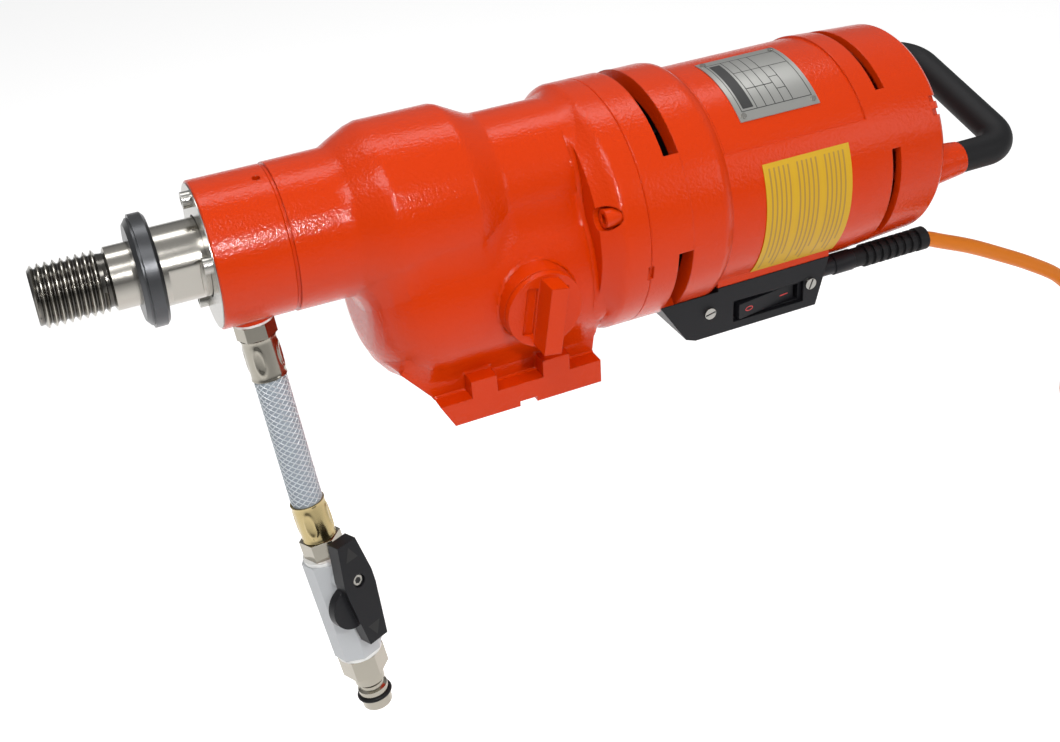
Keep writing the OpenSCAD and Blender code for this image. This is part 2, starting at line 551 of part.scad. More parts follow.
// Free cable: hand-chosen points from the gland to the coil
coil_c = [615, -85];
coil_z = -275;
coil_ro = 64;
coil_step = cable_d + 0.7;
coil_pitch = cable_d + 2.4;
coil_turns = 3;
lead = [[box_x1 - 6.5, cab_y, cab_z], [380, cab_y, cab_z], [404, cab_y, cab_z], [412, -43, -84.6],
  [421, -43, -88.5], [443.5, -43, -98.2], [468, -43, -110.7], [493.5, -43, -124.6],
  [518.5, -43, -140.8], [537, -42, -161],
  [547, -39, -184], [552, -35, -208], [556, -30, -232], [562, -25.5, -253], [572, -22.5, -268],
  [586, coil_c[1] + coil_ro, -274.6], [coil_c[0] - 10, coil_c[1] + coil_ro, coil_z]];
function catmull(p, i, t) = let(a = p[max(i - 1, 0)], b = p[i], c = p[i + 1], d = p[min(i + 2, len(p) - 1)])
  0.5 * (2 * b + (c - a) * t + (2 * a - 5 * b + 4 * c - d) * t * t + (3 * b - a - 3 * c + d) * t * t * t);
lead_pts = concat([for (i = [0:len(lead) - 2], t = [0, 0.5]) catmull(lead, i, t)], [lead[len(lead) - 1]]);
// Coil: four flat spirals, in and out, climbing in the half turn where the spiral reverses
function coil_r(q) = coil_ro - coil_pitch * min(max(q, 0), coil_turns);
span = coil_turns + 0.5;
function coil_pt(u) = let(layer = min(3, floor(u / span)), f = u - layer * span,
    q = layer % 2 == 0 ? f : coil_turns - f,
    climb = f > coil_turns && layer < 3 ? (1 - cos((f - coil_turns) * 360)) / 2 : 0,
    r = coil_r(q), a = 90 - 360 * u)
  [coil_c[0] + r * cos(a), coil_c[1] + r * sin(a), coil_z + (layer + climb) * coil_step];
coil_end = 3 * span + coil_turns;
coil_pts = [for (k = [0:24 * coil_end]) coil_pt(k / 24)];
// The end rises off the last turn, swings in and lies across the coil with its plug
function ease(x) = let(t = min(max(x, 0), 1)) t * t * (3 - 2 * t);
tail_turn = 140;
tail_rise = 21.5;
tail_pts = [for (k = [1:14])
  let(f = k / 14, a = 90 - 360 * coil_end - tail_turn * f, r = coil_ro - 18 * ease((f - 0.3) / 0.7))
  [coil_c[0] + r * cos(a), coil_c[1] + r * sin(a), coil_z + 3 * coil_step + tail_rise * ease(f / 0.6)]];
tail_dir = unit([tail_pts[13][0] - tail_pts[12][0], tail_pts[13][1] - tail_pts[12][1], 0]);
end_pts = [for (k = [1:3]) tail_pts[13] + 9 * k * tail_dir];
plug_p = end_pts[2];
wound_pts = concat([for (x = [9.7, 5]) [coil_c[0] - x, coil_c[1] + coil_ro, coil_z]],
  coil_pts, tail_pts, end_pts);
// Least distance between turns that are not neighbours along the cable
gap_list = [for (i = [0:4:len(wound_pts) - 1], j = [i + 12:3:len(wound_pts) - 1])
  norm(wound_pts[i] - wound_pts[j])];
echo(coil_gap = min(gap_list) - cable_d);

module mains_cable() color([0.93, 0.5, 0.1]) place() tube(lead_pts, cable_d / 2, 10);
module cable_coil() color([0.93, 0.5, 0.1]) place() tube(wound_pts, cable_d / 2, 6);
// Strap round the whole bundle of turns
tie_r0 = coil_ro - coil_pitch * coil_turns - cable_d / 2 - 0.9;
tie_r1 = coil_ro + cable_d / 2 + 0.4;
module coil_tie() color([0.1, 0.1, 0.1]) place() translate([coil_c[0], coil_c[1], coil_z]) rotate([0, 0, -60])
  difference() {
    translate([tie_r0 - 1.5, -5, -cable_d / 2 - 1.9])
      cube([tie_r1 - tie_r0 + 3, 10, 3 * coil_step + cable_d + 3.8]);
    translate([tie_r0, -6, -cable_d / 2 - 0.4]) cube([tie_r1 - tie_r0, 12, 3 * coil_step + cable_d + 0.8]);
  }
module along_plug() translate(plug_p) rotate([0, 90, atan2(tail_dir[1], tail_dir[0])]) children();
module plug_body() color([0.08, 0.08, 0.09]) place() along_plug() difference() {
  rotate_extrude() polygon([[0, -22], [6, -22], [7.2, 4], [12, 7], [15.5, 12], [17, 30],
    [16.4, 34], [0, 34]]);
  translate([0, 0, -30]) cylinder(r = cable_d / 2 + 0.2, h = 30.2);
  for (s = [-1, 1]) translate([0, 9.5 * s, 18]) cylinder(r = 2.4, h = 30);
}
module plug_pins() color([0.75, 0.7, 0.55]) place() along_plug() for (s = [-1, 1]) translate([0, 9.5 * s, 18])
  cylinder(r = 2.4, h = 35);

// Handle: round bar bent into a bow, its legs end on the housing's bosses
handle_x = rear_x + handle_reach;
handle_bend = 16;
leg_a = handle_legs()[0];
leg_b = handle_legs()[1];
leg_half = norm(leg_b - leg_a) / 2;
module carry_handle() color([0.06, 0.06, 0.07]) place()
  translate([0, (leg_a[0] + leg_b[0]) / 2, (leg_a[1] + leg_b[1]) / 2])
  rotate([atan2(leg_b[1] - leg_a[1], leg_b[0] - leg_a[0]), 0, 0]) union() {
    translate([handle_x, leg_half - handle_bend, 0]) rotate([90, 0, 0])
      cylinder(r = handle_d / 2, h = 2 * (leg_half - handle_bend));
    for (s = [-1, 1]) {
      translate([handle_x - handle_bend, s * (leg_half - handle_bend), 0]) rotate([0, 0, s > 0 ? 0 : -90])
        rotate_extrude(angle = 90) translate([handle_bend, 0]) circle(r = handle_d / 2);
      translate([rear_x + 22, s * leg_half, 0]) rotate([0, 90, 0])
        cylinder(r = handle_d / 2, h = handle_reach - handle_bend - 22);
      translate([rear_x + 13, s * leg_half, 0]) rotate([0, 90, 0]) cylinder(r = 5.95, h = 12);
    }
  }

module inlet_washer() color([0.92, 0.92, 0.9]) place() along1(0.9) difference() {
  cylinder(r = 10, h = 1.3);
  translate([0, 0, -1]) cylinder(r = 4.5, h = 6);
}
module inlet_nut() color([0.78, 0.76, 0.7]) place() along1(2.2) difference() {
  union() {
    cylinder(r = 10.7, h = 8, $fn = 6);
    cylinder(r = 5.6, h = 28);
  }
  translate([0, 0, -1]) cylinder(r = 4.2, h = 40);
}
module hose_ferrules() color([0.8, 0.68, 0.4]) place() {
  along1(10.4) difference() {
    cylinder(r = hose_d / 2 + 0.9, h = fer_t - 10.4);
    translate([0, 0, 1]) cylinder(r = hose_d / 2, h = 40);
    translate([0, 0, -1]) cylinder(r = 5.6, h = 4);
  }
  along2(0) difference() {
    cylinder(r = hose_d / 2 + 0.9, h = 22.4);
    translate([0, 0, -1]) cylinder(r = hose_d / 2 + 0.15, h = 22.4);
    translate([0, 0, 10]) cylinder(r = 5.6, h = 20);
  }
}
// Hose: bored pipe through the straight run and the slight bend into the lower ferrule
hose_run = [for (t = [11.6, fer_t, fer_t + hose_free / 3, fer_t + 2 * hose_free / 3, fer_t + hose_free - 6])
  in_p + t * d1];
hose_pts = concat(hose_run, [low_p + 6 * d2, low_p + 14 * d2, low_p + 21 * d2]);
module pipe(p, ro, ri, n) let(c = len(p), o = c * n) polyhedron(
  points = concat([for (i = [0:c - 1]) each ring_pts(p, i, ro, n)],
    [for (i = [0:c - 1]) each ring_pts(p, i, ri, n)]),
  faces = concat(
    [for (i = [0:c - 2], k = [0:n - 1]) each let(a = i * n + k, b = i * n + (k + 1) % n)
      [[a, b, a + n], [b, b + n, a + n], [o + b, o + a, o + a + n], [o + b, o + a + n, o + b + n]]],
    [for (k = [0:n - 1]) each let(b = (k + 1) % n, e = (c - 1) * n)
      [[b, k, o + k], [b, o + k, o + b], [e + k, e + b, o + e + k], [e + b, o + e + b, o + e + k]]]));
module water_hose() color([0.75, 0.8, 0.84]) place() pipe(hose_pts, hose_d / 2 - 0.02, 5.9, 24);
module hose_nut() color([0.78, 0.76, 0.7]) place() along2(22.6) difference() {
  union() {
    cylinder(r = 11.6, h = 10.4, $fn = 6);
    translate([0, 0, -18]) cylinder(r = 5.6, h = 20);
    cylinder(r = 8, h = 13.4);
  }
  translate([0, 0, -20]) cylinder(r = 4.2, h = 50);
}
module valve_body() color([0.68, 0.7, 0.72]) place() along2(valve_s) difference() {
  union() {
    rotate([0, 0, 22.5]) cylinder(r = 14.2, h = 62, $fn = 8);
    translate([0, 0, pivot_off]) rotate([0, -90, 0]) cylinder(r = 8, h = 16.6);
  }
  translate([0, 0, -1]) cylinder(r = 5, h = 80);
  translate([0, 0, -1]) cylinder(r = 8.05, h = 2.4);
  translate([0, 0, 54]) cylinder(r = 8.05, h = 12);
  translate([0, 0, pivot_off]) sphere(r = ball_r + 0.05);
  translate([0, 0, pivot_off]) rotate([0, -90, 0]) cylinder(r = 3.55, h = 30);
}
module valve_rings() color([0.93, 0.93, 0.93]) place() {
  along2(33) difference() {
    cylinder(r = 12.6, h = 2);
    translate([0, 0, -1]) cylinder(r = 8.02, h = 6);
  }
  along2(97) difference() {
    cylinder(r = 12.6, h = 2.4);
    translate([0, 0, -1]) cylinder(r = 8.02, h = 6);
  }
}
// Frame of the valve's stem: local +Z points out of the valve body to the lever
module at_stem() along2(pivot_s) rotate([0, -90, 0]) children();
module valve_ball() color([0.8, 0.8, 0.8]) place() at_stem() difference() {
  union() {
    sphere(r = ball_r);
    cylinder(r = 3.5, h = 19);
    translate([0, 0, 17]) cylinder(r = 3.5, h = 4.6, $fn = 6);
  }
  rotate([0, 90, 0]) cylinder(r = 5, h = 30, center = true);
  translate([0, 0, 15]) cylinder(r = 1.6, h = 20);
}
module valve_lever() color([0.13, 0.13, 0.14]) place() at_stem() difference() {
  union() {
    translate([0, 0, 17]) linear_extrude(9)
      polygon([[-24, -6], [-24, 6], [-2, 9.4], [6, 9.4], [38, 6], [38, -6], [6, -9.4], [-2, -9.4]]);
    translate([14, -7, 17]) cylinder(r = 12, h = 5.4);
  }
  translate([0, 0, 16]) cylinder(r = 3.6, h = 5.8);
  translate([0, 0, 21.6]) cylinder(r = 1.8, h = 6);
  translate([0, 0, 22.8]) cylinder(r = 3.7, h = 6);
}
module lever_screw() color([0.55, 0.55, 0.55]) place() at_stem() union() {
  translate([0, 0, 15.4]) cylinder(r = 1.55, h = 8);
  translate([0, 0, 22.9]) cylinder(r = 3.4, h = 1.8);
}
module water_nipple() color([0.76, 0.75, 0.7]) place() along2(99.4) difference() {
  union() {
    cylinder(r = 13.2, h = 12.6, $fn = 6);
    translate([0, 0, -8]) cylinder(r = 8, h = 10);
    rotate_extrude() polygon([[0, 12], [8.6, 12], [8.6, 20], [7, 22], [7, 24], [8.6, 25],
      [8.6, 28], [7.4, 28],
      [7.4, 31], [8.6, 31], [8.6, 36], [8, 37], [0, 37]]);
  }
  translate([0, 0, -20]) cylinder(r = 4.6, h = 80);
}
module nipple_oring() color([0.08, 0.08, 0.08]) place() along2(99.4 + 29.5) rotate_extrude()
  translate([8.75, 0]) circle(r = 1.32, $fn = 24);

gear_housing();
nose_housing();
cover_plate();
cover_screws();
water_seals();
spindle_bearings();
spindle();
release_ring();
spindle_gear_low();
spindle_gear_high();
lay_bearings();
layshaft();
lay_drive_gear();
lay_gear_low();
lay_gear_high();
shift_sleeve();
shift_fork();
fork_rod();
selector_knob();
selector_shaft();
motor_housing();
flange_screws();
armature_bearings();
armature_shaft();
armature_core();
commutator();
fan();
stator_core();
field_coils();
brush_carrier();
carbon_brushes();
nameplate();
nameplate_rivets();
blank_label();
switch_box();
switch_cover();
switch_screws();
switch_body();
rocker();
cable_gland();
bend_relief();
mains_cable();
cable_coil();
coil_tie();
plug_body();
plug_pins();
carry_handle();
inlet_washer();
inlet_nut();
hose_ferrules();
water_hose();
hose_nut();
valve_body();
valve_rings();
valve_lever();
lever_screw();
valve_ball();
water_nipple();
nipple_oring();
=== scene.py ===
"""Looks of the electric wet core drill motor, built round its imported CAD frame.

Lengths in the helpers are millimetres in the nose frame: X from the nose's front edge along the
spindle axis, Z from that axis, and -Y towards the camera. at() turns them into the row frame's metres.
"""

import json
import math

import bmesh
import bpy
import numpy as np
from mathutils import Matrix, Vector


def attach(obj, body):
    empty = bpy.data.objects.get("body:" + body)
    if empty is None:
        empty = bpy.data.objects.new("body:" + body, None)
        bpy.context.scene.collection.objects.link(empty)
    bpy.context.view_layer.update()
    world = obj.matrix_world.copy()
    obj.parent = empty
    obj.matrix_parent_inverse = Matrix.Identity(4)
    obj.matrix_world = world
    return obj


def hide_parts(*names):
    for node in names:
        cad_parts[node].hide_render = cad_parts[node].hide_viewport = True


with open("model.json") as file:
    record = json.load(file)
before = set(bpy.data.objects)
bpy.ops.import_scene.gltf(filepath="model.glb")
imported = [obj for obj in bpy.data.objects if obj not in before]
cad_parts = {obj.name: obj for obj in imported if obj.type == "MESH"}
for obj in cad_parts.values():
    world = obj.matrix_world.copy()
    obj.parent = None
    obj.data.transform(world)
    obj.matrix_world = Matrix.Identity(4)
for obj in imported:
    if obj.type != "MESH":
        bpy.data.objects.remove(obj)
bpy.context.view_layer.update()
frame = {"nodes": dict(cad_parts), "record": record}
NODES = frame["nodes"]

MM = 0.001
NOSE_X = -147.5
SPINDLE_Z = 108.0
MOTOR_DROP = 26.5


def at(x, y, z):
    """A point of the nose frame, in the row frame's metres."""
    return Vector(((x + NOSE_X) * MM, y * MM, (z + SPINDLE_Z) * MM))


# Materials

COAT_ROUGH = 0.12
BEVEL_SAMPLES = 4
GRAIN_DETAIL = 2


def material(name, color, rough=0.5, metal=0.0, coat=0.0, grain=None, bevel=0.0, spec=0.5):
    """A principled material; grain is a bump's (feature size, height) and bevel an edge radius, in mm."""
    mat = bpy.data.materials.new(name)
    mat.use_nodes = True
    tree = mat.node_tree
    shader = tree.nodes["Principled BSDF"]
    shader.inputs["Base Color"].default_value = (*color, 1)
    shader.inputs["Roughness"].default_value = rough
    shader.inputs["Metallic"].default_value = metal
    shader.inputs["Coat Weight"].default_value = coat
    shader.inputs["Coat Roughness"].default_value = COAT_ROUGH
    shader.inputs["Specular IOR Level"].default_value = spec
    normal = None
    if bevel:
        rounded = tree.nodes.new("ShaderNodeBevel")
        rounded.samples = BEVEL_SAMPLES
        rounded.inputs["Radius"].default_value = bevel * MM
        normal = rounded.outputs["Normal"]
    if grain:
        size, height = grain
        where = tree.nodes.new("ShaderNodeTexCoord")
        noise = tree.nodes.new("ShaderNodeTexNoise")
        noise.inputs["Scale"].default_value = 1 / (size * MM)
        noise.inputs["Detail"].default_value = GRAIN_DETAIL
        tree.links.new(where.outputs["Object"], noise.inputs["Vector"])
        bump = tree.nodes.new("ShaderNodeBump")
        bump.inputs["Distance"].default_value = height * MM
        bump.inputs["Strength"].default_value = 1
        tree.links.new(noise.outputs["Fac"], bump.inputs["Height"])
        if normal:
            tree.links.new(normal, bump.inputs["Normal"])
        normal = bump.outputs["Normal"]
    if normal:
        tree.links.new(normal, shader.inputs["Normal"])
        tree.links.new(normal, shader.inputs["Coat Normal"])
    return mat


RED = (0.60, 0.036, 0.0003)
LOOKS = {
    "red_paint": dict(color=RED, rough=0.18, grain=(1.6, 0.24), bevel=0.9, spec=0.24),
    "steel": dict(color=(0.42, 0.405, 0.37), rough=0.2, metal=1.0, bevel=0.3),
    "turned_steel": dict(color=(0.45, 0.43, 0.39), rough=0.2, metal=1.0),
    "bearing_steel": dict(color=(0.55, 0.55, 0.57), rough=0.22, metal=1.0),
    "gear_steel": dict(color=(0.35, 0.35, 0.36), rough=0.35, metal=1.0),
    "zinc_screw": dict(color=(0.47, 0.46, 0.43), rough=0.26, metal=1.0, bevel=0.25),
    "black_oxide": dict(color=(0.085, 0.087, 0.092), rough=0.32, metal=0.8, bevel=0.4),
    "black_plastic": dict(color=(0.009, 0.009, 0.011), rough=0.42, grain=(0.7, 0.02), bevel=0.6, spec=0.25),
    "black_rubber": dict(color=(0.009, 0.009, 0.01), rough=0.55, grain=(0.5, 0.02), bevel=0.4, spec=0.25),
    "orange_cable": dict(color=(0.68, 0.18, 0.008), rough=0.42, grain=(0.6, 0.01), spec=0.25),
    "label_yellow": dict(color=(0.60, 0.35, 0.02), rough=0.4, spec=0.2),
    "label_line": dict(color=(0.36, 0.2, 0.03), rough=0.5),
    "plate_silver": dict(color=(0.42, 0.42, 0.40), rough=0.38, metal=0.75),
    "plate_line": dict(color=(0.03, 0.03, 0.03), rough=0.5),
    "nickel": dict(color=(0.40, 0.375, 0.32), rough=0.16, metal=1.0, bevel=0.3),
    "brass": dict(color=(0.50, 0.40, 0.20), rough=0.22, metal=1.0, bevel=0.3),
    "bronze": dict(color=(0.5, 0.36, 0.18), rough=0.4, metal=1.0),
    "copper": dict(color=(0.6, 0.28, 0.12), rough=0.4, metal=1.0),
    "lamination": dict(color=(0.2, 0.2, 0.2), rough=0.5, metal=0.8),
    "white_plastic": dict(color=(0.85, 0.85, 0.83), rough=0.4, bevel=0.2),
    "grey_cast": dict(color=(0.52, 0.535, 0.55), rough=0.5, metal=0.25, grain=(0.8, 0.03), bevel=0.6),
    "carbon": dict(color=(0.03, 0.03, 0.03), rough=0.6),
    "braid_white": dict(color=(0.56, 0.60, 0.635), rough=0.16, spec=0.9),
    "switch_red": dict(color=(0.55, 0.03, 0.03), rough=0.4),
    "dark": dict(color=(0.01, 0.01, 0.01), rough=0.6),
    "clear_hose": dict(color=(0.32, 0.36, 0.40), rough=0.25, coat=0.1, spec=0.25),
}
MATS = {name: material(name, **look) for name, look in LOOKS.items()}


def let_light_through(mat, share, ior):
    """Makes a material a little see-through."""
    shader = mat.node_tree.nodes["Principled BSDF"]
    shader.inputs["Transmission Weight"].default_value = share
    shader.inputs["IOR"].default_value = ior


let_light_through(MATS["clear_hose"], share=0.1, ior=1.35)


def map_range(tree, source, low, high, to_low, to_high):
    """The source's value, mapped from low..high to to_low..to_high."""
    node = tree.nodes.new("ShaderNodeMapRange")
    for name, value in (("From Min", low), ("From Max", high), ("To Min", to_low), ("To Max", to_high)):
        node.inputs[name].default_value = value
    tree.links.new(source, node.inputs["Value"])
    return node.outputs["Result"]


# Finish of the CAD nodes

WELD_GAP = 1e-6
HARD_EDGE = math.radians(31)
FACE_WEIGHT = 75


def finish_node(node, mat):
    """Gives a CAD node its material, hard edges and even shading over long triangles."""
    mesh = node.data
    mesh.materials.clear()
    mesh.materials.append(mat)
    mesh.polygons.foreach_set("use_smooth", [True] * len(mesh.polygons))
    welded = node.modifiers.new("weld", "WELD")
    welded.merge_threshold = WELD_GAP
    split = node.modifiers.new("edges", "EDGE_SPLIT")
    split.split_angle = HARD_EDGE
    normals = node.modifiers.new("normals", "WEIGHTED_NORMAL")
    normals.mode = "FACE_AREA"
    normals.weight = FACE_WEIGHT


for part in frame["record"]["subparts"]:
    finish_node(NODES[part["node"]], MATS[part["material_slot"]])


# Mesh helpers

MERGE_GAP = 1e-7


def add_mesh(name, verts, faces, mat, smooth=35):
    """A new mesh piece; edges sharper than smooth degrees stay hard."""
    mesh = bpy.data.meshes.new(name)
    mesh.from_pydata([tuple(v) for v in verts], [], faces)
    mesh.update()
    work = bmesh.new()
    work.from_mesh(mesh)
    bmesh.ops.remove_doubles(work, verts=work.verts, dist=MERGE_GAP)
    bmesh.ops.recalc_face_normals(work, faces=work.faces)
    work.to_mesh(mesh)
    work.free()
    mesh.polygons.foreach_set("use_smooth", [True] * len(mesh.polygons))
    mesh.set_sharp_from_angle(angle=math.radians(smooth))
    mesh.materials.append(MATS[mat])
    piece = bpy.data.objects.new(name, mesh)
    bpy.context.scene.collection.objects.link(piece)
    return piece


def skin(name, rings, mat, smooth=35, caps=True):
    """A skin through rings of equal point counts; caps closes its two ends."""
    n = len(rings[0])
    verts = [p for ring in rings for p in ring]
    faces = []
    for i in range(len(rings) - 1):
        for k in range(n):
            j = (k + 1) % n
            faces.append((i * n + k, i * n + j, (i + 1) * n + j, (i + 1) * n + k))
    if caps:
        last = (len(rings) - 1) * n
        faces.append(tuple(reversed(range(n))))
        faces.append(tuple(range(last, last + n)))
    return add_mesh(name, verts, faces, mat, smooth)


def x_ring(x, r, n):
    """Ring of n points round the spindle axis, from the near side upwards."""
    turns = [2 * math.pi * k / n for k in range(n)]
    return [at(x, -r * math.cos(a), r * math.sin(a)) for a in turns]


def line_frame(tilt, turn, spin=0.0):
    """Axes of the water line's pieces: the same turns as in the CAD source."""
    return (
        Matrix.Rotation(math.radians(turn), 3, "Z")
        @ Matrix.Rotation(math.radians(tilt), 3, "Y")
        @ Matrix.Rotation(math.radians(spin), 3, "Z")
    )


# Cast fillets: a skin over the concave corners of the gear housing, where its rounds run into each other

# Outlines repeat the CAD source's sizes
UPPER_OUTLINE = [
    (0, 38), (38.5, 38.6), (38.8, 69), (42.2, 75.5), (46.5, 84.5), (48.1, 90),
    (48.1, 129), (47.3, 132), (39.6, 146.5), (38.4, 150.5), (38.4, 200), (0, 200),
]
BELLY_DROP = 45.0
BELLY_R, BELLY_ROUND, BELLY_STEPS = 54, 33, 6
BELLY_X0, BELLY_X1 = 73, 192
FLANGE_R = 68.5
FLANGE_OUTLINE = [
    (0, 188.5), (FLANGE_R - 8, 188.5), (FLANGE_R - 5.6, 192.5), (FLANGE_R - 3, 195.6),
    (FLANGE_R - 1, 198.2), (FLANGE_R, 200.8), (FLANGE_R, 214), (0, 214),
]
BOSS_X, BOSS_Z = 154.3, -44.8
BOSS_OUTLINE = [(0, 30), (23.4, 30), (21.3, 60.5), (0, 60.5)]
FOOT_Z, FOOT_TOP, FOOT_HALF = -108.0, -94.0, 50.5
FOOT_X0, FOOT_X1 = 104.25, 190.75
FOOT_OUTLINE = [(FOOT_X0 + 0.8, FOOT_Z), (FOOT_X1, FOOT_Z), (FOOT_X1, FOOT_TOP), (FOOT_X0 - 6.5, FOOT_TOP)]
# Each lug's start behind the foot's front edge, and its length
LUGS = ((11.5, 14.5), (52.5, 15.5))
LUG_Y, LUG_BASE, LUG_TOP = 40, 13, 24
WEB_HALF, WEB_TOP = 40.5, -68
WEB_OUTLINE = [
    (FOOT_X0 - 6.5, FOOT_TOP), (FOOT_X1, FOOT_TOP), (FOOT_X1 + 4, WEB_TOP),
    (FOOT_X0 - 18, WEB_TOP), (FOOT_X0 - 23, WEB_TOP - 6),
]
CORNER_BACK, CORNER_TURN = 24, math.radians(35)
CORNER_X0, CORNER_X1, CORNER_WIDE = -20, 10, 30
SCREW_RING_R, SCREW_ANGLE = 62, math.radians(20)
SCALLOP_R, SCALLOP_END = 6.2, 199.4
BELLY_FILLET, FLANGE_FILLET, BOSS_FILLET, WEB_FILLET, FOOT_FILLET = 8, 3.5, 2, 4.5, 1.8
FILLET_LOW, FILLET_HIGH = (54, -60, -110), (206, 60, 48)
FILLET_STEP, QUICK_STEP, FILLET_LEVEL = 1.1, 2.4, -0.06
SNAP_ROUNDS, NUDGE, LEAST_SLOPE = 3, 0.05, 0.2


def polygon_field(u, v, points):
    """Signed distance to a closed polygon, negative inside."""
    best = np.full(u.shape, 1e9)
    inside = np.zeros(u.shape, bool)
    for (ax, ay), (bx, by) in zip(points, points[1:] + points[:1]):
        ex, ey = bx - ax, by - ay
        wx, wy = u - ax, v - ay
        k = np.clip((wx * ex + wy * ey) / (ex * ex + ey * ey), 0, 1)
        best = np.minimum(best, (wx - ex * k) ** 2 + (wy - ey * k) ** 2)
        cross = (ay > v) != (by > v)
        if ey:
            inside ^= cross & (u < ex * (v - ay) / ey + ax)
    return np.where(inside, -1, 1) * np.sqrt(best)


def prism_field(outline, across, half):
    """Signed distance to an outline drawn out to half on both sides."""
    d = np.abs(across) - half
    return np.minimum(np.maximum(outline, d), 0) + np.hypot(np.maximum(outline, 0), np.maximum(d, 0))


def box_field(p, low, high):
    """Signed distance to a box between two corners."""
    q = np.abs(p - (np.array(low) + high) / 2) - (np.array(high) - low) / 2
    return np.linalg.norm(np.maximum(q, 0), axis=1) + np.minimum(q.max(axis=1), 0)


def round_join(a, b, r):
    """Union of two fields with a fillet of radius r."""
    return np.maximum(r, np.minimum(a, b)) - np.hypot(np.maximum(r - a, 0), np.maximum(r - b, 0))


def belly_outline():
    """Half outline of the belly: a round front and a straight side."""
    front = []
    for k in range(BELLY_STEPS + 1):
        a = math.pi / 2 * k / BELLY_STEPS
        r = BELLY_R - BELLY_ROUND + BELLY_ROUND * math.sin(a)
        front.append((r, BELLY_X0 + BELLY_ROUND - BELLY_ROUND * math.cos(a)))
    return [(0, BELLY_X0)] + front + [(BELLY_R, BELLY_X1), (0, BELLY_X1)]


def foot_fields(x, y, z):
    """Signed distances to the web, with its cut front corners, and to the foot with its lugs."""
    c, s = math.cos(CORNER_TURN), math.sin(CORNER_TURN)
    along, across = x - FOOT_X0 + CORNER_BACK, np.abs(y) - WEB_HALF
    cut_x, cut_y = along * c + across * s, across * c - along * s
    ends = np.maximum(cut_x - CORNER_X1, CORNER_X0 - cut_x)
    corner = np.maximum(ends, np.maximum(-cut_y, cut_y - CORNER_WIDE))
    web = np.maximum(prism_field(polygon_field(x, z, WEB_OUTLINE), y, WEB_HALF), -corner)
    foot = prism_field(polygon_field(x, z, FOOT_OUTLINE), y, FOOT_HALF)
    folded = np.stack((x, np.abs(y), z), 1)
    for start, wide in LUGS:
        low = (FOOT_X0 + start, LUG_Y, FOOT_Z + LUG_BASE)
        high = (FOOT_X0 + start + wide, FOOT_HALF, FOOT_Z + LUG_TOP)
        foot = np.minimum(foot, box_field(folded, low, high))
    return web, foot


def cast_fields(p):
    """Signed distances to the gear housing's outside at points p: with fillets, and without."""
    x, y, z = p.T
    upper = polygon_field(np.hypot(y, z), x, UPPER_OUTLINE)
    belly = polygon_field(np.hypot(y, z + BELLY_DROP), x, belly_outline())
    flange = polygon_field(np.hypot(y, z + MOTOR_DROP), x, FLANGE_OUTLINE)
    boss = polygon_field(np.hypot(x - BOSS_X, z - BOSS_Z), -y, BOSS_OUTLINE)
    web, foot = foot_fields(x, y, z)
    soft = round_join(upper, belly, BELLY_FILLET)
    soft = round_join(soft, flange, FLANGE_FILLET)
    soft = round_join(soft, boss, BOSS_FILLET)
    soft = round_join(soft, web, WEB_FILLET)
    soft = round_join(soft, foot, FOOT_FILLET)
    hard = np.minimum.reduce((upper, belly, flange, boss, web, foot))
    screw_y = SCREW_RING_R * math.cos(SCREW_ANGLE)
    screw_z = SCREW_RING_R * math.sin(SCREW_ANGLE) - MOTOR_DROP
    scallop = np.maximum(np.hypot(np.abs(y) - screw_y, z - screw_z) - SCALLOP_R, x - SCALLOP_END)
    return np.maximum(soft, -scallop), np.maximum(hard, -scallop)


def field_skin(fields, low, high, step, level):
    """Points and quads of the first field's level surface, kept where it lies outside the second."""
    low, high = np.array(low, float), np.array(high, float)
    count = np.ceil((high - low) / step).astype(int) + 1
    axes = [low[i] + step * np.arange(count[i]) for i in range(3)]
    grid = np.stack(np.meshgrid(*axes, indexing="ij"), -1).reshape(-1, 3)
    value = fields(grid)[0].reshape(count) - level
    inner = value < 0
    cells = count - 1
    total = np.zeros((*cells, 3))
    hits = np.zeros(cells)
    for axis in range(3):
        u, v = [i for i in range(3) if i != axis]
        a = np.take(value, range(count[axis] - 1), axis)
        b = np.take(value, range(1, count[axis]), axis)
        cross = (a < 0) != (b < 0)
        at_edge = np.where(cross, a / np.where(cross, a - b, 1), 0)
        for du in (0, 1):
            for dv in (0, 1):
                pick = [slice(None)] * 3
                pick[u] = slice(du, du + cells[u])
                pick[v] = slice(dv, dv + cells[v])
                c, e = cross[tuple(pick)], at_edge[tuple(pick)]
                hits += c
                total[..., axis] += np.where(c, e, 0)
                total[..., u] += c * du
                total[..., v] += c * dv
    used = hits > 0
    where = np.argwhere(used)
    points = low + step * (where + total[used] / hits[used][:, None])
    for _ in range(SNAP_ROUNDS):
        f = fields(points)[0] - level
        slopes = [fields(points + d)[0] - fields(points - d)[0] for d in NUDGE * np.eye(3)]
        grad = np.stack(slopes, 1) / (2 * NUDGE)
        points -= grad * (f / np.maximum((grad**2).sum(1), LEAST_SLOPE))[:, None]
    keep = fields(points)[1] > level / 2
    number = np.full(cells, -1)
    number[tuple(where.T)] = np.where(keep, np.arange(len(where)), -1)
    quads = []
    for axis in range(3):
        u, v = [(1, 2), (2, 0), (0, 1)][axis]
        a = np.take(inner, range(count[axis] - 1), axis)
        b = np.take(inner, range(1, count[axis]), axis)
        at_cross = np.argwhere(a != b)
        ok = np.all([(at_cross[:, k] > 0) & (at_cross[:, k] < cells[k]) for k in (u, v)], axis=0)
        for c in at_cross[ok]:
            back_u, back_v = np.eye(3, dtype=int)[u], np.eye(3, dtype=int)[v]
            ids = [number[tuple(c - i)] for i in (0 * back_u, back_u, back_u + back_v, back_v)]
            if min(ids) >= 0:
                quads.append(ids if a[tuple(c)] else ids[::-1])
    return points, quads


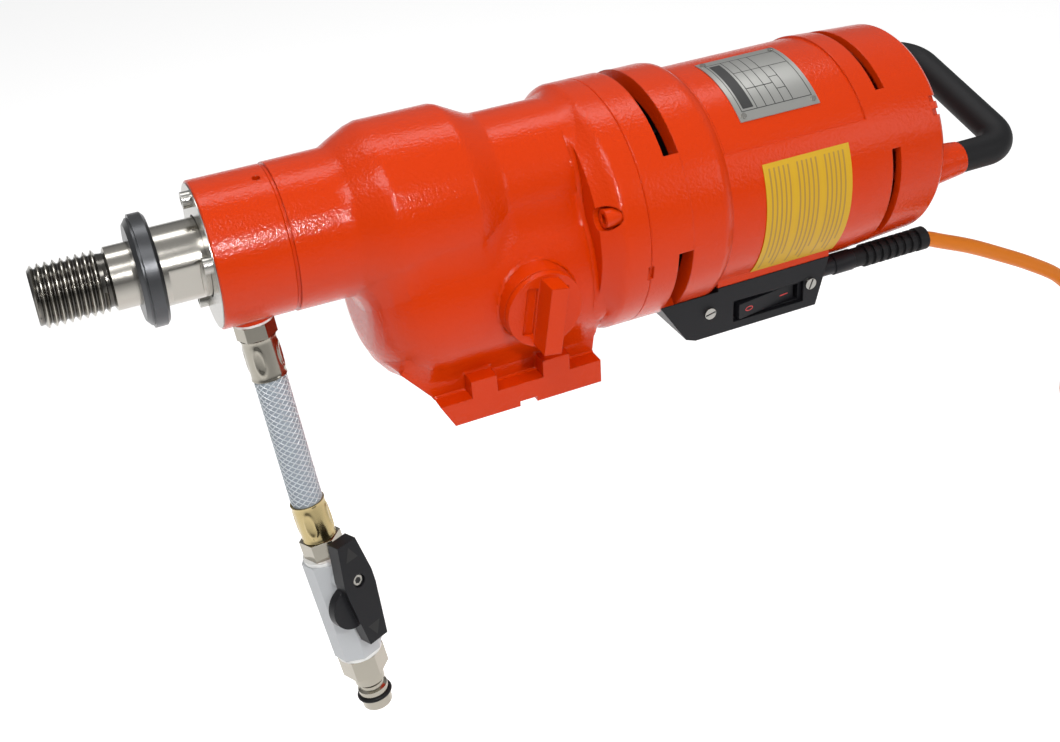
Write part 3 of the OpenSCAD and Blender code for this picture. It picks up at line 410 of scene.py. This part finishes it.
def build_fillets():
    step = FILLET_STEP
    points, quads = field_skin(cast_fields, FILLET_LOW, FILLET_HIGH, step, FILLET_LEVEL)
    used = sorted({i for quad in quads for i in quad})
    renumber = {old: new for new, old in enumerate(used)}
    verts = [at(*points[i]) for i in used]
    faces = [[renumber[i] for i in quad] for quad in quads]
    piece = add_mesh("cast_fillets", verts, faces, "red_paint", smooth=60)
    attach(piece, "housing")


build_fillets()


# Spindle with its cut thread

THREAD_R = 15.875
THREAD_PITCH = 25.4 / 7
THREAD_DEPTH = 2.2
THREAD_END = -48.6
THREAD_EDGES = (0.08, 0.44, 0.56, 0.92)
SPARE_TURNS = 2
CREST_HALF, FLANK = 0.06, 0.36
TIP_R, TIP_SLOPE = 13.4, 1.1
RUNOUT_R, RUNOUT_SLOPE = 13.5, 2.2
SPINDLE_TIP = -82.5
SPINDLE_SIDES = 120
SHANK_R = 20
FLATS_X0, FLATS_X1 = -20, -5
FLATS = 18.0
FLATS_TURN = math.radians(9)
# Turned stretches as x and radius
CENTRE_HOLE = ((SPINDLE_TIP + 22, 4.5), (SPINDLE_TIP + 0.4, 4.5), (SPINDLE_TIP, 5))
NECK = (
    (-47.9, 13.4), (-46.9, 13.4), (-46.5, 14.6), (-45.8, 16),
    (-23.4, 16), (-23.4, 19.2), (-22.6, SHANK_R), (FLATS_X0, SHANK_R),
)
INNER_SHAFT = (
    (FLATS_X1, SHANK_R), (40, SHANK_R), (40, 17.5), (66, 17.5),
    (66, 17), (146.5, 17), (146.5, 15), (162, 15),
)
# Painted shade in the thread roots: the radii over which the colour darkens, and how dark the root gets
DARK_R, BRIGHT_R, ROOT_SHADE = 13.6, 15.7, 0.22
TIP_FACE = 0.05


def paint_root_shade(mat):
    """Painted shade in the thread roots: the colour darkens from the crest to the root, but not on the
    tip's face.
    """
    tree = mat.node_tree
    color = tree.nodes["Principled BSDF"].inputs["Base Color"]
    where = tree.nodes.new("ShaderNodeTexCoord").outputs["Object"]
    centre = tree.nodes.new("ShaderNodeVectorMath")
    centre.operation = "MULTIPLY_ADD"
    centre.inputs[1].default_value = (0, 1, 1)
    centre.inputs[2].default_value = (0, 0, -SPINDLE_Z * MM)
    tree.links.new(where, centre.inputs[0])
    radius = tree.nodes.new("ShaderNodeVectorMath")
    radius.operation = "LENGTH"
    tree.links.new(centre.outputs["Vector"], radius.inputs[0])
    shade = map_range(tree, radius.outputs["Value"], DARK_R * MM, BRIGHT_R * MM, ROOT_SHADE, 1.0)
    part = tree.nodes.new("ShaderNodeSeparateXYZ")
    tree.links.new(where, part.inputs["Vector"])
    face = tree.nodes.new("ShaderNodeMath")
    face.operation = "LESS_THAN"
    face.inputs[1].default_value = at(SPINDLE_TIP + TIP_FACE, 0, 0).x
    tree.links.new(part.outputs["X"], face.inputs[0])
    lighter = tree.nodes.new("ShaderNodeMath")
    lighter.operation = "MAXIMUM"
    tree.links.new(shade, lighter.inputs[0])
    tree.links.new(face.outputs["Value"], lighter.inputs[1])
    tint = tree.nodes.new("ShaderNodeVectorMath")
    tint.operation = "SCALE"
    tint.inputs[0].default_value = color.default_value[:3]
    tree.links.new(lighter.outputs["Value"], tint.inputs["Scale"])
    tree.links.new(tint.outputs["Vector"], color)


def thread_radius(x, a):
    """Radius of the thread at x and angle a, cut back at the tip and run out at the relief."""
    phase = (x / THREAD_PITCH - a / (2 * math.pi)) % 1
    depth = min(max((abs(phase - 0.5) - CREST_HALF) / FLANK, 0), 1)
    tip = TIP_R + (x - SPINDLE_TIP) * TIP_SLOPE
    runout = RUNOUT_R + (THREAD_END - x) * RUNOUT_SLOPE
    return min(THREAD_R - THREAD_DEPTH * depth, tip, runout)


def flat_ring(x, r, n):
    """Ring of radius r with the two wrench flats cut."""
    across = Vector((0, math.cos(FLATS_TURN), math.sin(FLATS_TURN)))
    axis = at(x, 0, 0)
    points = []
    for p in x_ring(x, r, n):
        reach = (p - axis).dot(across)
        over = max(abs(reach) - FLATS * MM, 0)
        points.append(p - across * math.copysign(over, reach))
    return points


def thread_rows(n):
    """Rows of points along the thread's edges, one turn each, clamped to its two ends."""
    first = math.floor(SPINDLE_TIP / THREAD_PITCH)
    turns = math.ceil((THREAD_END - SPINDLE_TIP) / THREAD_PITCH)
    rows = []
    for turn in range(first - SPARE_TURNS, first + turns + SPARE_TURNS + 1):
        for edge in THREAD_EDGES:
            row = []
            for k in range(n):
                a = 2 * math.pi * k / n
                x = (turn + edge + k / n) * THREAD_PITCH
                x = min(max(x, SPINDLE_TIP), THREAD_END)
                r = thread_radius(x, a)
                row.append(at(x, -r * math.cos(a), r * math.sin(a)))
            rows.append(row)
    return rows


def build_spindle():
    """One skin: plain rings, and between them thread rows that each end on the row one turn further."""
    n = SPINDLE_SIDES
    front = [x_ring(x, r, n) for x, r in CENTRE_HOLE]
    rows = thread_rows(n)
    neck = [x_ring(x, r, n) for x, r in NECK]
    flats = [flat_ring(x, SHANK_R, n) for x in (FLATS_X0, FLATS_X1)]
    shaft = [x_ring(x, r, n) for x, r in INNER_SHAFT]
    rings = front + rows + neck + flats + shaft
    lead = len(THREAD_EDGES)
    first, last = len(front), len(front) + len(rows)
    faces = [range(n), [(len(rings) - 1) * n + k for k in reversed(range(n))]]
    for j in range(len(rings) - 1):
        for k in range(n):
            here, there = [(j, k), (j + 1, k)], [(j, k + 1), (j + 1, k + 1)]
            if k + 1 == n:
                there = [(i + lead if first <= i < last - lead else i, 0) for i, _ in there]
            faces.append([i * n + c for i, c in (here[0], here[1], there[1], there[0])])
    verts = [p for ring in rings for p in ring]
    piece = add_mesh("spindle_turned", verts, faces, "turned_steel", smooth=40)
    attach(piece, "spindle_unit")
    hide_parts("spindle")


# Painted shade in the thread roots of the turned steel
paint_root_shade(MATS["turned_steel"])
build_spindle()


# Water line: same inlet and directions as the CAD source

NOSE_R = 38.0
INLET_X, INLET_ANGLE = 17.3, math.radians(80)
INLET = Vector((INLET_X, -NOSE_R * math.cos(INLET_ANGLE), -NOSE_R * math.sin(INLET_ANGLE)))
UPPER = line_frame(tilt=168, turn=-70.6)
LOWER = line_frame(tilt=166.9, turn=-59.5, spin=9)
DOWN1 = UPPER @ Vector((0, 0, 1))
DOWN2 = LOWER @ Vector((0, 0, 1))
SIDE, OTHER = UPPER @ Vector((1, 0, 0)), UPPER @ Vector((0, 1, 0))
FERRULE_START, FERRULE_END = 10.4, 33.0
LOWER_FERRULE = 22.4
HOSE_FREE = 75.0
HOSE_R, WALL_INSET = 8.5, 0.05
HOSE_STEPS, HOSE_SIDES = 49, 48
BEND_AT, BEND_SOFT = FERRULE_END + HOSE_FREE, 18.0
HOSE_START, HOSE_END = 11.6, BEND_AT + 21
BEND = INLET + DOWN1 * BEND_AT
YARNS, YARN_LEAD, YARN_STEPS = 12, 39.0, 150
YARN_HALF, YARN_RISE, YARN_SINK, YARN_GAP = 0.34, 0.34, 0.06, 0.5
FERRULE_SIDES, FERRULE_ROWS = 96, 56
FERRULE_BORE, FERRULE_WALL, FERRULE_SINK = HOSE_R + 0.1, 0.95, 0.25
OVAL_HALF, OVAL_SHARE = 2.6, 0.62
OVAL_RISE, OVAL_EDGE, OVAL_DIP, OVAL_MIDDLE = 0.55, 0.22, 0.3, 0.6
RIM_RISE, RIM_SHARE = 0.35, 0.05


def on_upper(t, r=0.0, a=0.0):
    """Point at t down from the inlet, r out at angle a."""
    return INLET + UPPER @ Vector((r * math.cos(a), r * math.sin(a), t))


def on_lower(s, r=0.0, a=0.0):
    """Point at s down from the bend, r out at angle a."""
    return BEND + LOWER @ Vector((r * math.cos(a), r * math.sin(a), s))


def outward(a):
    """Direction out of the hose at angle a."""
    return SIDE * math.cos(a) + OTHER * math.sin(a)


def hose_line(count):
    """Points down the hose's middle, nose frame, millimetres."""
    points = []
    for k in range(count):
        t = HOSE_START + (HOSE_END - HOSE_START) * k / (count - 1)
        over = t - BEND_AT
        if over <= -BEND_SOFT:
            points.append(INLET + DOWN1 * t)
        elif over >= BEND_SOFT:
            points.append(BEND + DOWN2 * over)
        else:
            u = (over + BEND_SOFT) / (2 * BEND_SOFT)
            a, b = INLET + DOWN1 * (BEND_AT - BEND_SOFT), BEND + DOWN2 * BEND_SOFT
            points.append(a * (1 - u) ** 2 + BEND * 2 * u * (1 - u) + b * u**2)
    return points


def build_hose(line):
    turns = [2 * math.pi * k / HOSE_SIDES for k in range(HOSE_SIDES)]
    rings = [[at(*(p + outward(a) * (HOSE_R - WALL_INSET))) for a in turns] for p in line]
    hose = skin("water_hose_wall", rings, "clear_hose")
    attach(hose, "housing")
    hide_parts("water_hose")
    return hose


def build_braid():
    """Yarns that cross both ways, just proud of the wall between the ferrules."""
    verts, faces = [], []
    start, end = FERRULE_END + YARN_GAP, BEND_AT - YARN_GAP
    slope = 2 * math.pi * HOSE_R / YARN_LEAD
    for way in (-1, 1):
        for yarn in range(YARNS):
            first = len(verts)
            for k in range(YARN_STEPS + 1):
                t = start + (end - start) * k / YARN_STEPS
                out = outward(way * 2 * math.pi * t / YARN_LEAD + 2 * math.pi * yarn / YARNS)
                along = (DOWN1 + out.cross(DOWN1) * (-way) * slope).normalized()
                half = along.cross(out) * YARN_HALF
                mid = INLET + DOWN1 * t + out * (HOSE_R - YARN_SINK)
                verts += [at(*(mid + half)), at(*(mid + out * YARN_RISE)), at(*(mid - half))]
            for k in range(YARN_STEPS):
                b = first + 3 * k
                faces += [(b, b + 1, b + 4, b + 3), (b + 1, b + 2, b + 5, b + 4)]
    braid = add_mesh("water_hose_braid", verts, faces, "braid_white")
    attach(braid, "housing")
    return braid


def bell(x, width):
    """A smooth bump of height 1 at 0."""
    return math.exp(-((x / width) ** 2))


def ferrule(name, place, t0, t1, mat):
    """Pressed ferrule with rolled ends and four long embossed ovals."""
    turns = [2 * math.pi * k / FERRULE_SIDES for k in range(FERRULE_SIDES)]
    flat = HOSE_R + FERRULE_WALL
    rings = [[at(*place(t0, FERRULE_BORE, a)) for a in turns]]
    for i in range(FERRULE_ROWS + 1):
        u = i / FERRULE_ROWS
        rim = RIM_RISE * (bell(u, RIM_SHARE) + bell(1 - u, RIM_SHARE))
        ring = []
        for a in turns:
            near = (a % (math.pi / 2)) - math.pi / 4
            reach = math.hypot(near * flat / OVAL_HALF, (u - 0.5) * 2 / OVAL_SHARE)
            emboss = OVAL_RISE * bell(reach - 1, OVAL_EDGE) - OVAL_DIP * bell(reach, OVAL_MIDDLE)
            ring.append(at(*place(t0 + (t1 - t0) * u, flat + emboss + rim - FERRULE_SINK, a)))
        rings.append(ring)
    rings.append([at(*place(t1, FERRULE_BORE, a)) for a in turns])
    piece = skin(name, rings, mat, smooth=50, caps=False)
    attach(piece, "housing")
    return piece


hose_points = hose_line(HOSE_STEPS)
hose = build_hose(hose_points)
braid = build_braid()
upper_ferrule = ferrule("ferrule_upper", on_upper, FERRULE_START, FERRULE_END, "nickel")
lower_ferrule = ferrule("ferrule_lower", on_lower, 0.0, LOWER_FERRULE, "brass")
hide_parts("hose_ferrules")


# Mains cable: free run, then the unseen rest as a tied coil, on the CAD source's route

CABLE_D = 9.0
CABLE_ROUND = 5
CABLE_Y, CABLE_Z = -43.0, -82.3
COIL_C = Vector((615, -85))
COIL_Z = -275.0
COIL_R = 64.0
COIL_STEP, COIL_PITCH = CABLE_D + 0.7, CABLE_D + 2.4
COIL_TURNS, COIL_TOP = 3, 3
LAYER_TURNS = COIL_TURNS + 0.5
TURN_POINTS = 48
LEAD = [
    (398, CABLE_Y, CABLE_Z), (404, CABLE_Y, CABLE_Z), (412, -43, -84.6), (421, -43, -88.5),
    (443.5, -43, -98.2), (468, -43, -110.7), (493.5, -43, -124.6), (518.5, -43, -140.8),
    (537, -42, -161), (547, -39, -184), (552, -35, -208), (556, -30, -232), (562, -25.5, -253),
    (572, -22.5, -268), (586, -21, -274.6), (605, -21, COIL_Z), (615, -21, COIL_Z),
]
LEAD_STEPS = 8
TAIL_TURN, TAIL_STEPS = math.radians(140), 28
TAIL_RISE, TAIL_CLIMB = 21.5, 0.6
TAIL_IN, TAIL_HOLD = 18, 0.3
END_STEPS = 3


def through(points, steps):
    """Smooth line through points, with steps between each two."""
    vs = [Vector(p) for p in points]
    line = []
    for i in range(len(vs) - 1):
        a, b, c, d = vs[max(i - 1, 0)], vs[i], vs[i + 1], vs[min(i + 2, len(vs) - 1)]
        for k in range(steps):
            t = k / steps
            bow = (2 * a - 5 * b + 4 * c - d) * t**2
            twist = (3 * b - a - 3 * c + d) * t**3
            line.append(0.5 * (2 * b + (c - a) * t + bow + twist))
    return line


def ease(x):
    """Smooth step from 0 to 1."""
    t = min(max(x, 0), 1)
    return t * t * (3 - 2 * t)


def round_coil(r, a, z):
    """Point at radius r and angle a round the coil's middle."""
    return Vector((COIL_C.x + r * math.cos(a), COIL_C.y + r * math.sin(a), z))


def coil_point(u):
    """Point of the coil after u turns: flat spirals in and out, climbing where they reverse."""
    layer = min(COIL_TOP, math.floor(u / LAYER_TURNS))
    f = u - layer * LAYER_TURNS
    q = f if layer % 2 == 0 else COIL_TURNS - f
    climb = 0
    if f > COIL_TURNS and layer < COIL_TOP:
        climb = (1 - math.cos((f - COIL_TURNS) * 2 * math.pi)) / 2
    r = COIL_R - COIL_PITCH * min(max(q, 0), COIL_TURNS)
    return round_coil(r, math.pi / 2 - 2 * math.pi * u, COIL_Z + (layer + climb) * COIL_STEP)


def cable_line():
    """Points of the whole cable: the lead, the coil, and the tail that comes off its top to the plug."""
    turns = COIL_TOP * LAYER_TURNS + COIL_TURNS
    count = int(TURN_POINTS * turns)
    coil = [coil_point(k * turns / count) for k in range(count + 1)]
    tail = []
    for k in range(1, TAIL_STEPS + 1):
        f = k / TAIL_STEPS
        a = math.pi / 2 - 2 * math.pi * turns - TAIL_TURN * f
        r = COIL_R - TAIL_IN * ease((f - TAIL_HOLD) / (1 - TAIL_HOLD))
        tail.append(round_coil(r, a, COIL_Z + COIL_TOP * COIL_STEP + TAIL_RISE * ease(f / TAIL_CLIMB)))
    way = (tail[-1] - tail[-2]) * Vector((1, 1, 0))
    way.normalize()
    tail += [tail[-1] + way * CABLE_D * k for k in range(1, END_STEPS + 1)]
    return through(LEAD, LEAD_STEPS) + coil + tail


def build_cable():
    line = cable_line()
    curve = bpy.data.curves.new("mains_cable_line", "CURVE")
    curve.dimensions = "3D"
    curve.bevel_depth = CABLE_D / 2 * MM
    curve.bevel_resolution = CABLE_ROUND
    curve.use_fill_caps = True
    spline = curve.splines.new("POLY")
    spline.points.add(len(line) - 1)
    for point, p in zip(spline.points, line):
        point.co = (*at(*p), 1)
    spline.use_smooth = True
    curve.materials.append(MATS["orange_cable"])
    cable = bpy.data.objects.new("mains_cable_line", curve)
    bpy.context.scene.collection.objects.link(cable)
    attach(cable, "housing")
    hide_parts("mains_cable", "cable_coil")
    length = sum((b - a).length for a, b in zip(line, line[1:])) * MM


build_cable()


# Prints and marks: plain rules on the label and nameplate, the switch's two marks; painted shade in the
# screw slots, the lever's engraved arrows and its screw's socket

MOTOR_R = 64.0
PRINT_PROUD, PRINT_STEP = 0.05, 2.5
LABEL_R = MOTOR_R + 0.5
LABEL_X, LABEL_LINES, LABEL_PITCH, LABEL_LINE_W = 287.0, 17, 2.85, 1.0
LABEL_LOW, LABEL_HIGH = -36, 23
# By how many degrees each line of a group is shorter; None leaves a gap
LABEL_GROUP = (0, 9, 3, 0, 9, None)
PLATE_R = MOTOR_R - 0.4
PLATE_X0, PLATE_X1, PLATE_A0, PLATE_A1 = 283.5, 326.5, 52.5, 88.5
RULE_W, RULE_TURN = 0.45, 0.4
BAND_X0, BAND_X1, BAND_IN = PLATE_X0 + 1.5, PLATE_X0 + 8, 1.5
TABLE_X = [PLATE_X0 + x for x in (9.5, 15, 20.5, 26)]
BOX_X, BOX_TOP = PLATE_X0 + 31.5, PLATE_A0 + 24
SWITCH_Y, SWITCH_Z = -48.6, -85.3
# Each half of the rocker's face: x and y where it starts, and its slope
ROCKER_LEFT = (277.5, SWITCH_Y - 2.05, 2.6 / 19.2)
ROCKER_RIGHT = (296.7, SWITCH_Y + 0.55, 2.4 / 19.3)
ROCKER_Z = SWITCH_Z - 5
# X and turn in degrees of each cover screw's slot
SLOTS = ((258.6, 12), (324.0, 70))
SLOT_Y = SWITCH_Y - 2.9
LEVER_PIVOT, LEVER_FACE, SCREW_FACE = 44.0, -26.05, -24.75
# Painted shade in the lever's two engraved arrows: the corners of each round the pivot
ARROWS = [[(-21, 0), (-13.5, -4), (-13.5, 4)], [(35, 0), (27.5, 4), (27.5, -4)]]
# Painted shade on the lever screw: the socket's radius, the head's radius and the width of the dark ring
# round it
SOCKET_R, HEAD_R, HEAD_LINE = 1.9, 3.38, 0.5
OVAL_SIDES = 28


def round_strips(name, mat, radius, strips):
    """Thin print on the motor's round.

    A strip is (x0, x1, low angle, high angle), in degrees from the middle of the near side.
    """
    out = radius + PRINT_PROUD
    verts, faces = [], []
    for x0, x1, a0, a1 in strips:
        base = len(verts)
        steps = max(1, math.ceil(abs(a1 - a0) / PRINT_STEP))
        for k in range(steps + 1):
            a = math.radians(a0 + (a1 - a0) * k / steps)
            verts += [at(x, -out * math.cos(a), out * math.sin(a) - MOTOR_DROP) for x in (x0, x1)]
        faces += [(b, b + 1, b + 3, b + 2) for b in range(base, base + 2 * steps, 2)]
    piece = add_mesh(name, verts, faces, mat)
    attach(piece, "housing")


def build_label_rules():
    """Groups of lines, some shorter, with a gap after each group."""
    lines = []
    for k in range(LABEL_LINES):
        shorter = LABEL_GROUP[k % len(LABEL_GROUP)]
        if shorter is not None:
            x = LABEL_X + LABEL_PITCH * k
            lines.append((x, x + LABEL_LINE_W, LABEL_LOW + shorter, LABEL_HIGH))
    round_strips("label_rules", "label_line", LABEL_R, lines)


def plate_column(x, high=PLATE_A1):
    return (x, x + RULE_W, PLATE_A0, high)


def plate_row(a, x0=PLATE_X0, x1=PLATE_X1):
    return (x0, x1, a, a + RULE_TURN)


def build_plate_rules():
    """A blank table: a dark band, columns and rows, and small boxes behind them."""
    rules = [plate_column(x) for x in (PLATE_X0, *TABLE_X, PLATE_X1)]
    rules += [plate_row(a) for a in (PLATE_A0, PLATE_A1)]
    rules += [plate_row(PLATE_A0 + a, TABLE_X[0], TABLE_X[-1]) for a in (12, 24)]
    rules += [(BAND_X0, BAND_X1, PLATE_A0 + BAND_IN, PLATE_A1 - BAND_IN)]
    rules += [plate_column(BOX_X, high=BOX_TOP), plate_row(BOX_TOP, TABLE_X[-1])]
    rules += [plate_row(PLATE_A0 + a, TABLE_X[-1], BOX_X) for a in (8, 16)]
    round_strips("nameplate_rules", "plate_line", PLATE_R, rules)


def flat_marks(name, body, mat, loops, place):
    """Flat marks: each loop is a list of (u, v) corners, put in space by place(u, v)."""
    verts, faces = [], []
    for loop in loops:
        base = len(verts)
        verts += [place(u, v) for u, v in loop]
        faces.append(range(base, base + len(loop)))
    piece = add_mesh(name, verts, faces, mat)
    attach(piece, body)


def bar(u, v, half_u, half_v):
    """A bar's four corners."""
    return [(u + i * half_u, v + j * half_v) for i, j in ((-1, -1), (1, -1), (1, 1), (-1, 1))]


def oval(u, v, half_u, half_v, line):
    """An oval ring as quads."""
    n = OVAL_SIDES
    ring = [(math.cos(2 * math.pi * k / n), math.sin(2 * math.pi * k / n)) for k in range(n + 1)]
    outer = [(u + half_u * c, v + half_v * s) for c, s in ring]
    inner = [(u + (half_u - line) * c, v + (half_v - line) * s) for c, s in ring]
    return [[outer[k], outer[k + 1], inner[k + 1], inner[k]] for k in range(n)]


def on_rocker(x, y, slope):
    """Places on one half of the rocker's face, which starts at x and y."""

    def place(u, v):
        return at(x + u, y + slope * u, ROCKER_Z + v)

    return place


def on_screw(x, turn):
    """Places on the head of the switch cover's screw at x, turned by so many degrees."""
    c, s = math.cos(math.radians(turn)), math.sin(math.radians(turn))

    def place(u, v):
        return at(x + u * c - v * s, SLOT_Y, SWITCH_Z + u * s + v * c)

    return place


def on_lever(face):
    """Places on a face of the valve lever, round its pivot."""

    def place(u, v):
        return at(*(BEND + LOWER @ Vector((face, v, LEVER_PIVOT + u))))

    return place


def build_switch_marks():
    off = oval(7.0, 0, 2.7, 1.5, line=0.6)
    flat_marks("switch_off_mark", "switch_rocker", "switch_red", off, on_rocker(*ROCKER_LEFT))
    on = [bar(12.6, 0, 2.8, 0.4)]
    flat_marks("switch_on_mark", "switch_rocker", "switch_red", on, on_rocker(*ROCKER_RIGHT))
    # Painted shade: a dark bar in each cover screw's slot
    for k, (x, turn) in enumerate(SLOTS):
        flat_marks(f"switch_screw_slot_shade_{k}", "housing", "dark", [bar(0, 0, 3.1, 0.45)], on_screw(x, turn))


def build_lever_marks():
    # Painted shade in the engraved arrows, in the screw's socket and in a ring round its head
    flat_marks("lever_arrows_painted_shade", "lever", "dark", ARROWS, on_lever(LEVER_FACE))
    corners = [math.radians(60 * k) for k in range(6)]
    socket = [(SOCKET_R * math.cos(a), SOCKET_R * math.sin(a)) for a in corners]
    edge = oval(0, 0, HEAD_R, HEAD_R, HEAD_LINE)
    flat_marks("lever_screw_painted_shade", "lever", "dark", [socket] + edge, on_lever(SCREW_FACE))


build_label_rules()
build_plate_rules()
build_switch_marks()
build_lever_marks()


# Stage: pale floor, soft light and the photographed camera

FLOOR_REACH, FLOOR_Z = 40.0, -0.30
FLOOR_FADE, FLOOR_GLOW = (-0.6, 0.0), (0.1, 0.46)
SKY_RISE, SKY_GLOW = (0.05, 0.6), (0.16, 0.42)
WHITE = (1, 1, 1, 1)
LAMPS = {
    "key": dict(place=(-0.5, -0.7, 1.5), aim=(0.05, 0, 0.1), size=(0.8, 0.5), power=9),
    "top": dict(place=(0.2, 0.5, 1.5), aim=(0.1, 0, 0.1), size=(1.6, 0.4), power=8),
    "side": dict(place=(1.3, -1.3, 0.7), aim=(0.1, 0, 0.05), size=(0.7, 0.7), power=3),
    "flash": dict(place=(-0.04, -0.64, 0.50), aim=(0.05, 0, 0.08), size=(0.03, 0.024), power=2.3),
}


def axis_ramp(tree, coordinates, axis, span, values):
    """A value that goes from values' first to its second over a span of one axis."""
    where = tree.nodes.new("ShaderNodeTexCoord")
    part = tree.nodes.new("ShaderNodeSeparateXYZ")
    tree.links.new(where.outputs[coordinates], part.inputs["Vector"])
    return map_range(tree, part.outputs[axis], *span, *values)


def build_floor():
    """Pale floor that glows less towards the camera's side."""
    mesh = bpy.data.meshes.new("floor")
    corners = bar(0, 0, FLOOR_REACH, FLOOR_REACH)
    mesh.from_pydata([(x, y, FLOOR_Z) for x, y in corners], [], [(0, 1, 2, 3)])
    pale = material("floor_pale", color=(0.92, 0.92, 0.92), rough=0.9, spec=0.0)
    tree = pale.node_tree
    shader = tree.nodes["Principled BSDF"]
    shader.inputs["Emission Color"].default_value = WHITE
    glow = axis_ramp(tree, "Object", "Y", FLOOR_FADE, FLOOR_GLOW)
    tree.links.new(glow, shader.inputs["Emission Strength"])
    mesh.materials.append(pale)
    floor = bpy.data.objects.new("floor", mesh)
    bpy.context.scene.collection.objects.link(floor)


def build_sky():
    """White light from all round, stronger from above."""
    world = bpy.data.worlds.new("studio")
    world.use_nodes = True
    tree = world.node_tree
    background = tree.nodes["Background"]
    background.inputs["Color"].default_value = WHITE
    glow = axis_ramp(tree, "Generated", "Z", SKY_RISE, SKY_GLOW)
    tree.links.new(glow, background.inputs["Strength"])
    bpy.context.scene.world = world


def softbox(name, place, aim, size, power):
    """A rectangular lamp at place that points at aim."""
    lamp = bpy.data.lights.new(name, "AREA")
    lamp.shape = "RECTANGLE"
    lamp.size, lamp.size_y = size
    lamp.energy = power
    holder = bpy.data.objects.new(name, lamp)
    bpy.context.scene.collection.objects.link(holder)
    holder.location = place
    holder.rotation_mode = "QUATERNION"
    holder.rotation_quaternion = (Vector(aim) - Vector(place)).to_track_quat("-Z", "Y")


build_floor()
build_sky()
for name, lamp in LAMPS.items():
    softbox(name, **lamp)

# Camera fitted to the photograph: metres and directions, then pixels of its frame
CAMERA_PLACE = Vector((-0.228169, -0.596729, 0.414294))
CAMERA_RIGHT = Vector((0.920913, -0.381764, -0.078586))
CAMERA_AHEAD = Vector((0.295454, 0.815242, -0.498084))
PHOTO_W, PHOTO_H = 1060.0, 742.0
FOCAL_PX, CENTRE_X, CENTRE_Y = 1344.22, 465.443, 287.814
SENSOR_W = 36
CLIP_START, CLIP_END = 0.01, 50


def build_camera():
    data = bpy.data.cameras.new("camera")
    data.sensor_width = SENSOR_W
    data.lens = FOCAL_PX / PHOTO_W * SENSOR_W
    data.shift_x = (PHOTO_W / 2 - CENTRE_X) / PHOTO_W
    data.shift_y = (CENTRE_Y - PHOTO_H / 2) / PHOTO_W
    data.clip_start, data.clip_end = CLIP_START, CLIP_END
    camera = bpy.data.objects.new("camera", data)
    bpy.context.scene.collection.objects.link(camera)
    right, ahead = CAMERA_RIGHT.normalized(), CAMERA_AHEAD.normalized()
    up = right.cross(ahead)
    turn = Matrix((right, up, -ahead)).transposed().to_4x4()
    camera.matrix_world = Matrix.Translation(CAMERA_PLACE) @ turn
    bpy.context.scene.camera = camera


build_camera()
bpy.context.scene.view_settings.view_transform = "Standard"

bpy.context.view_layer.update()
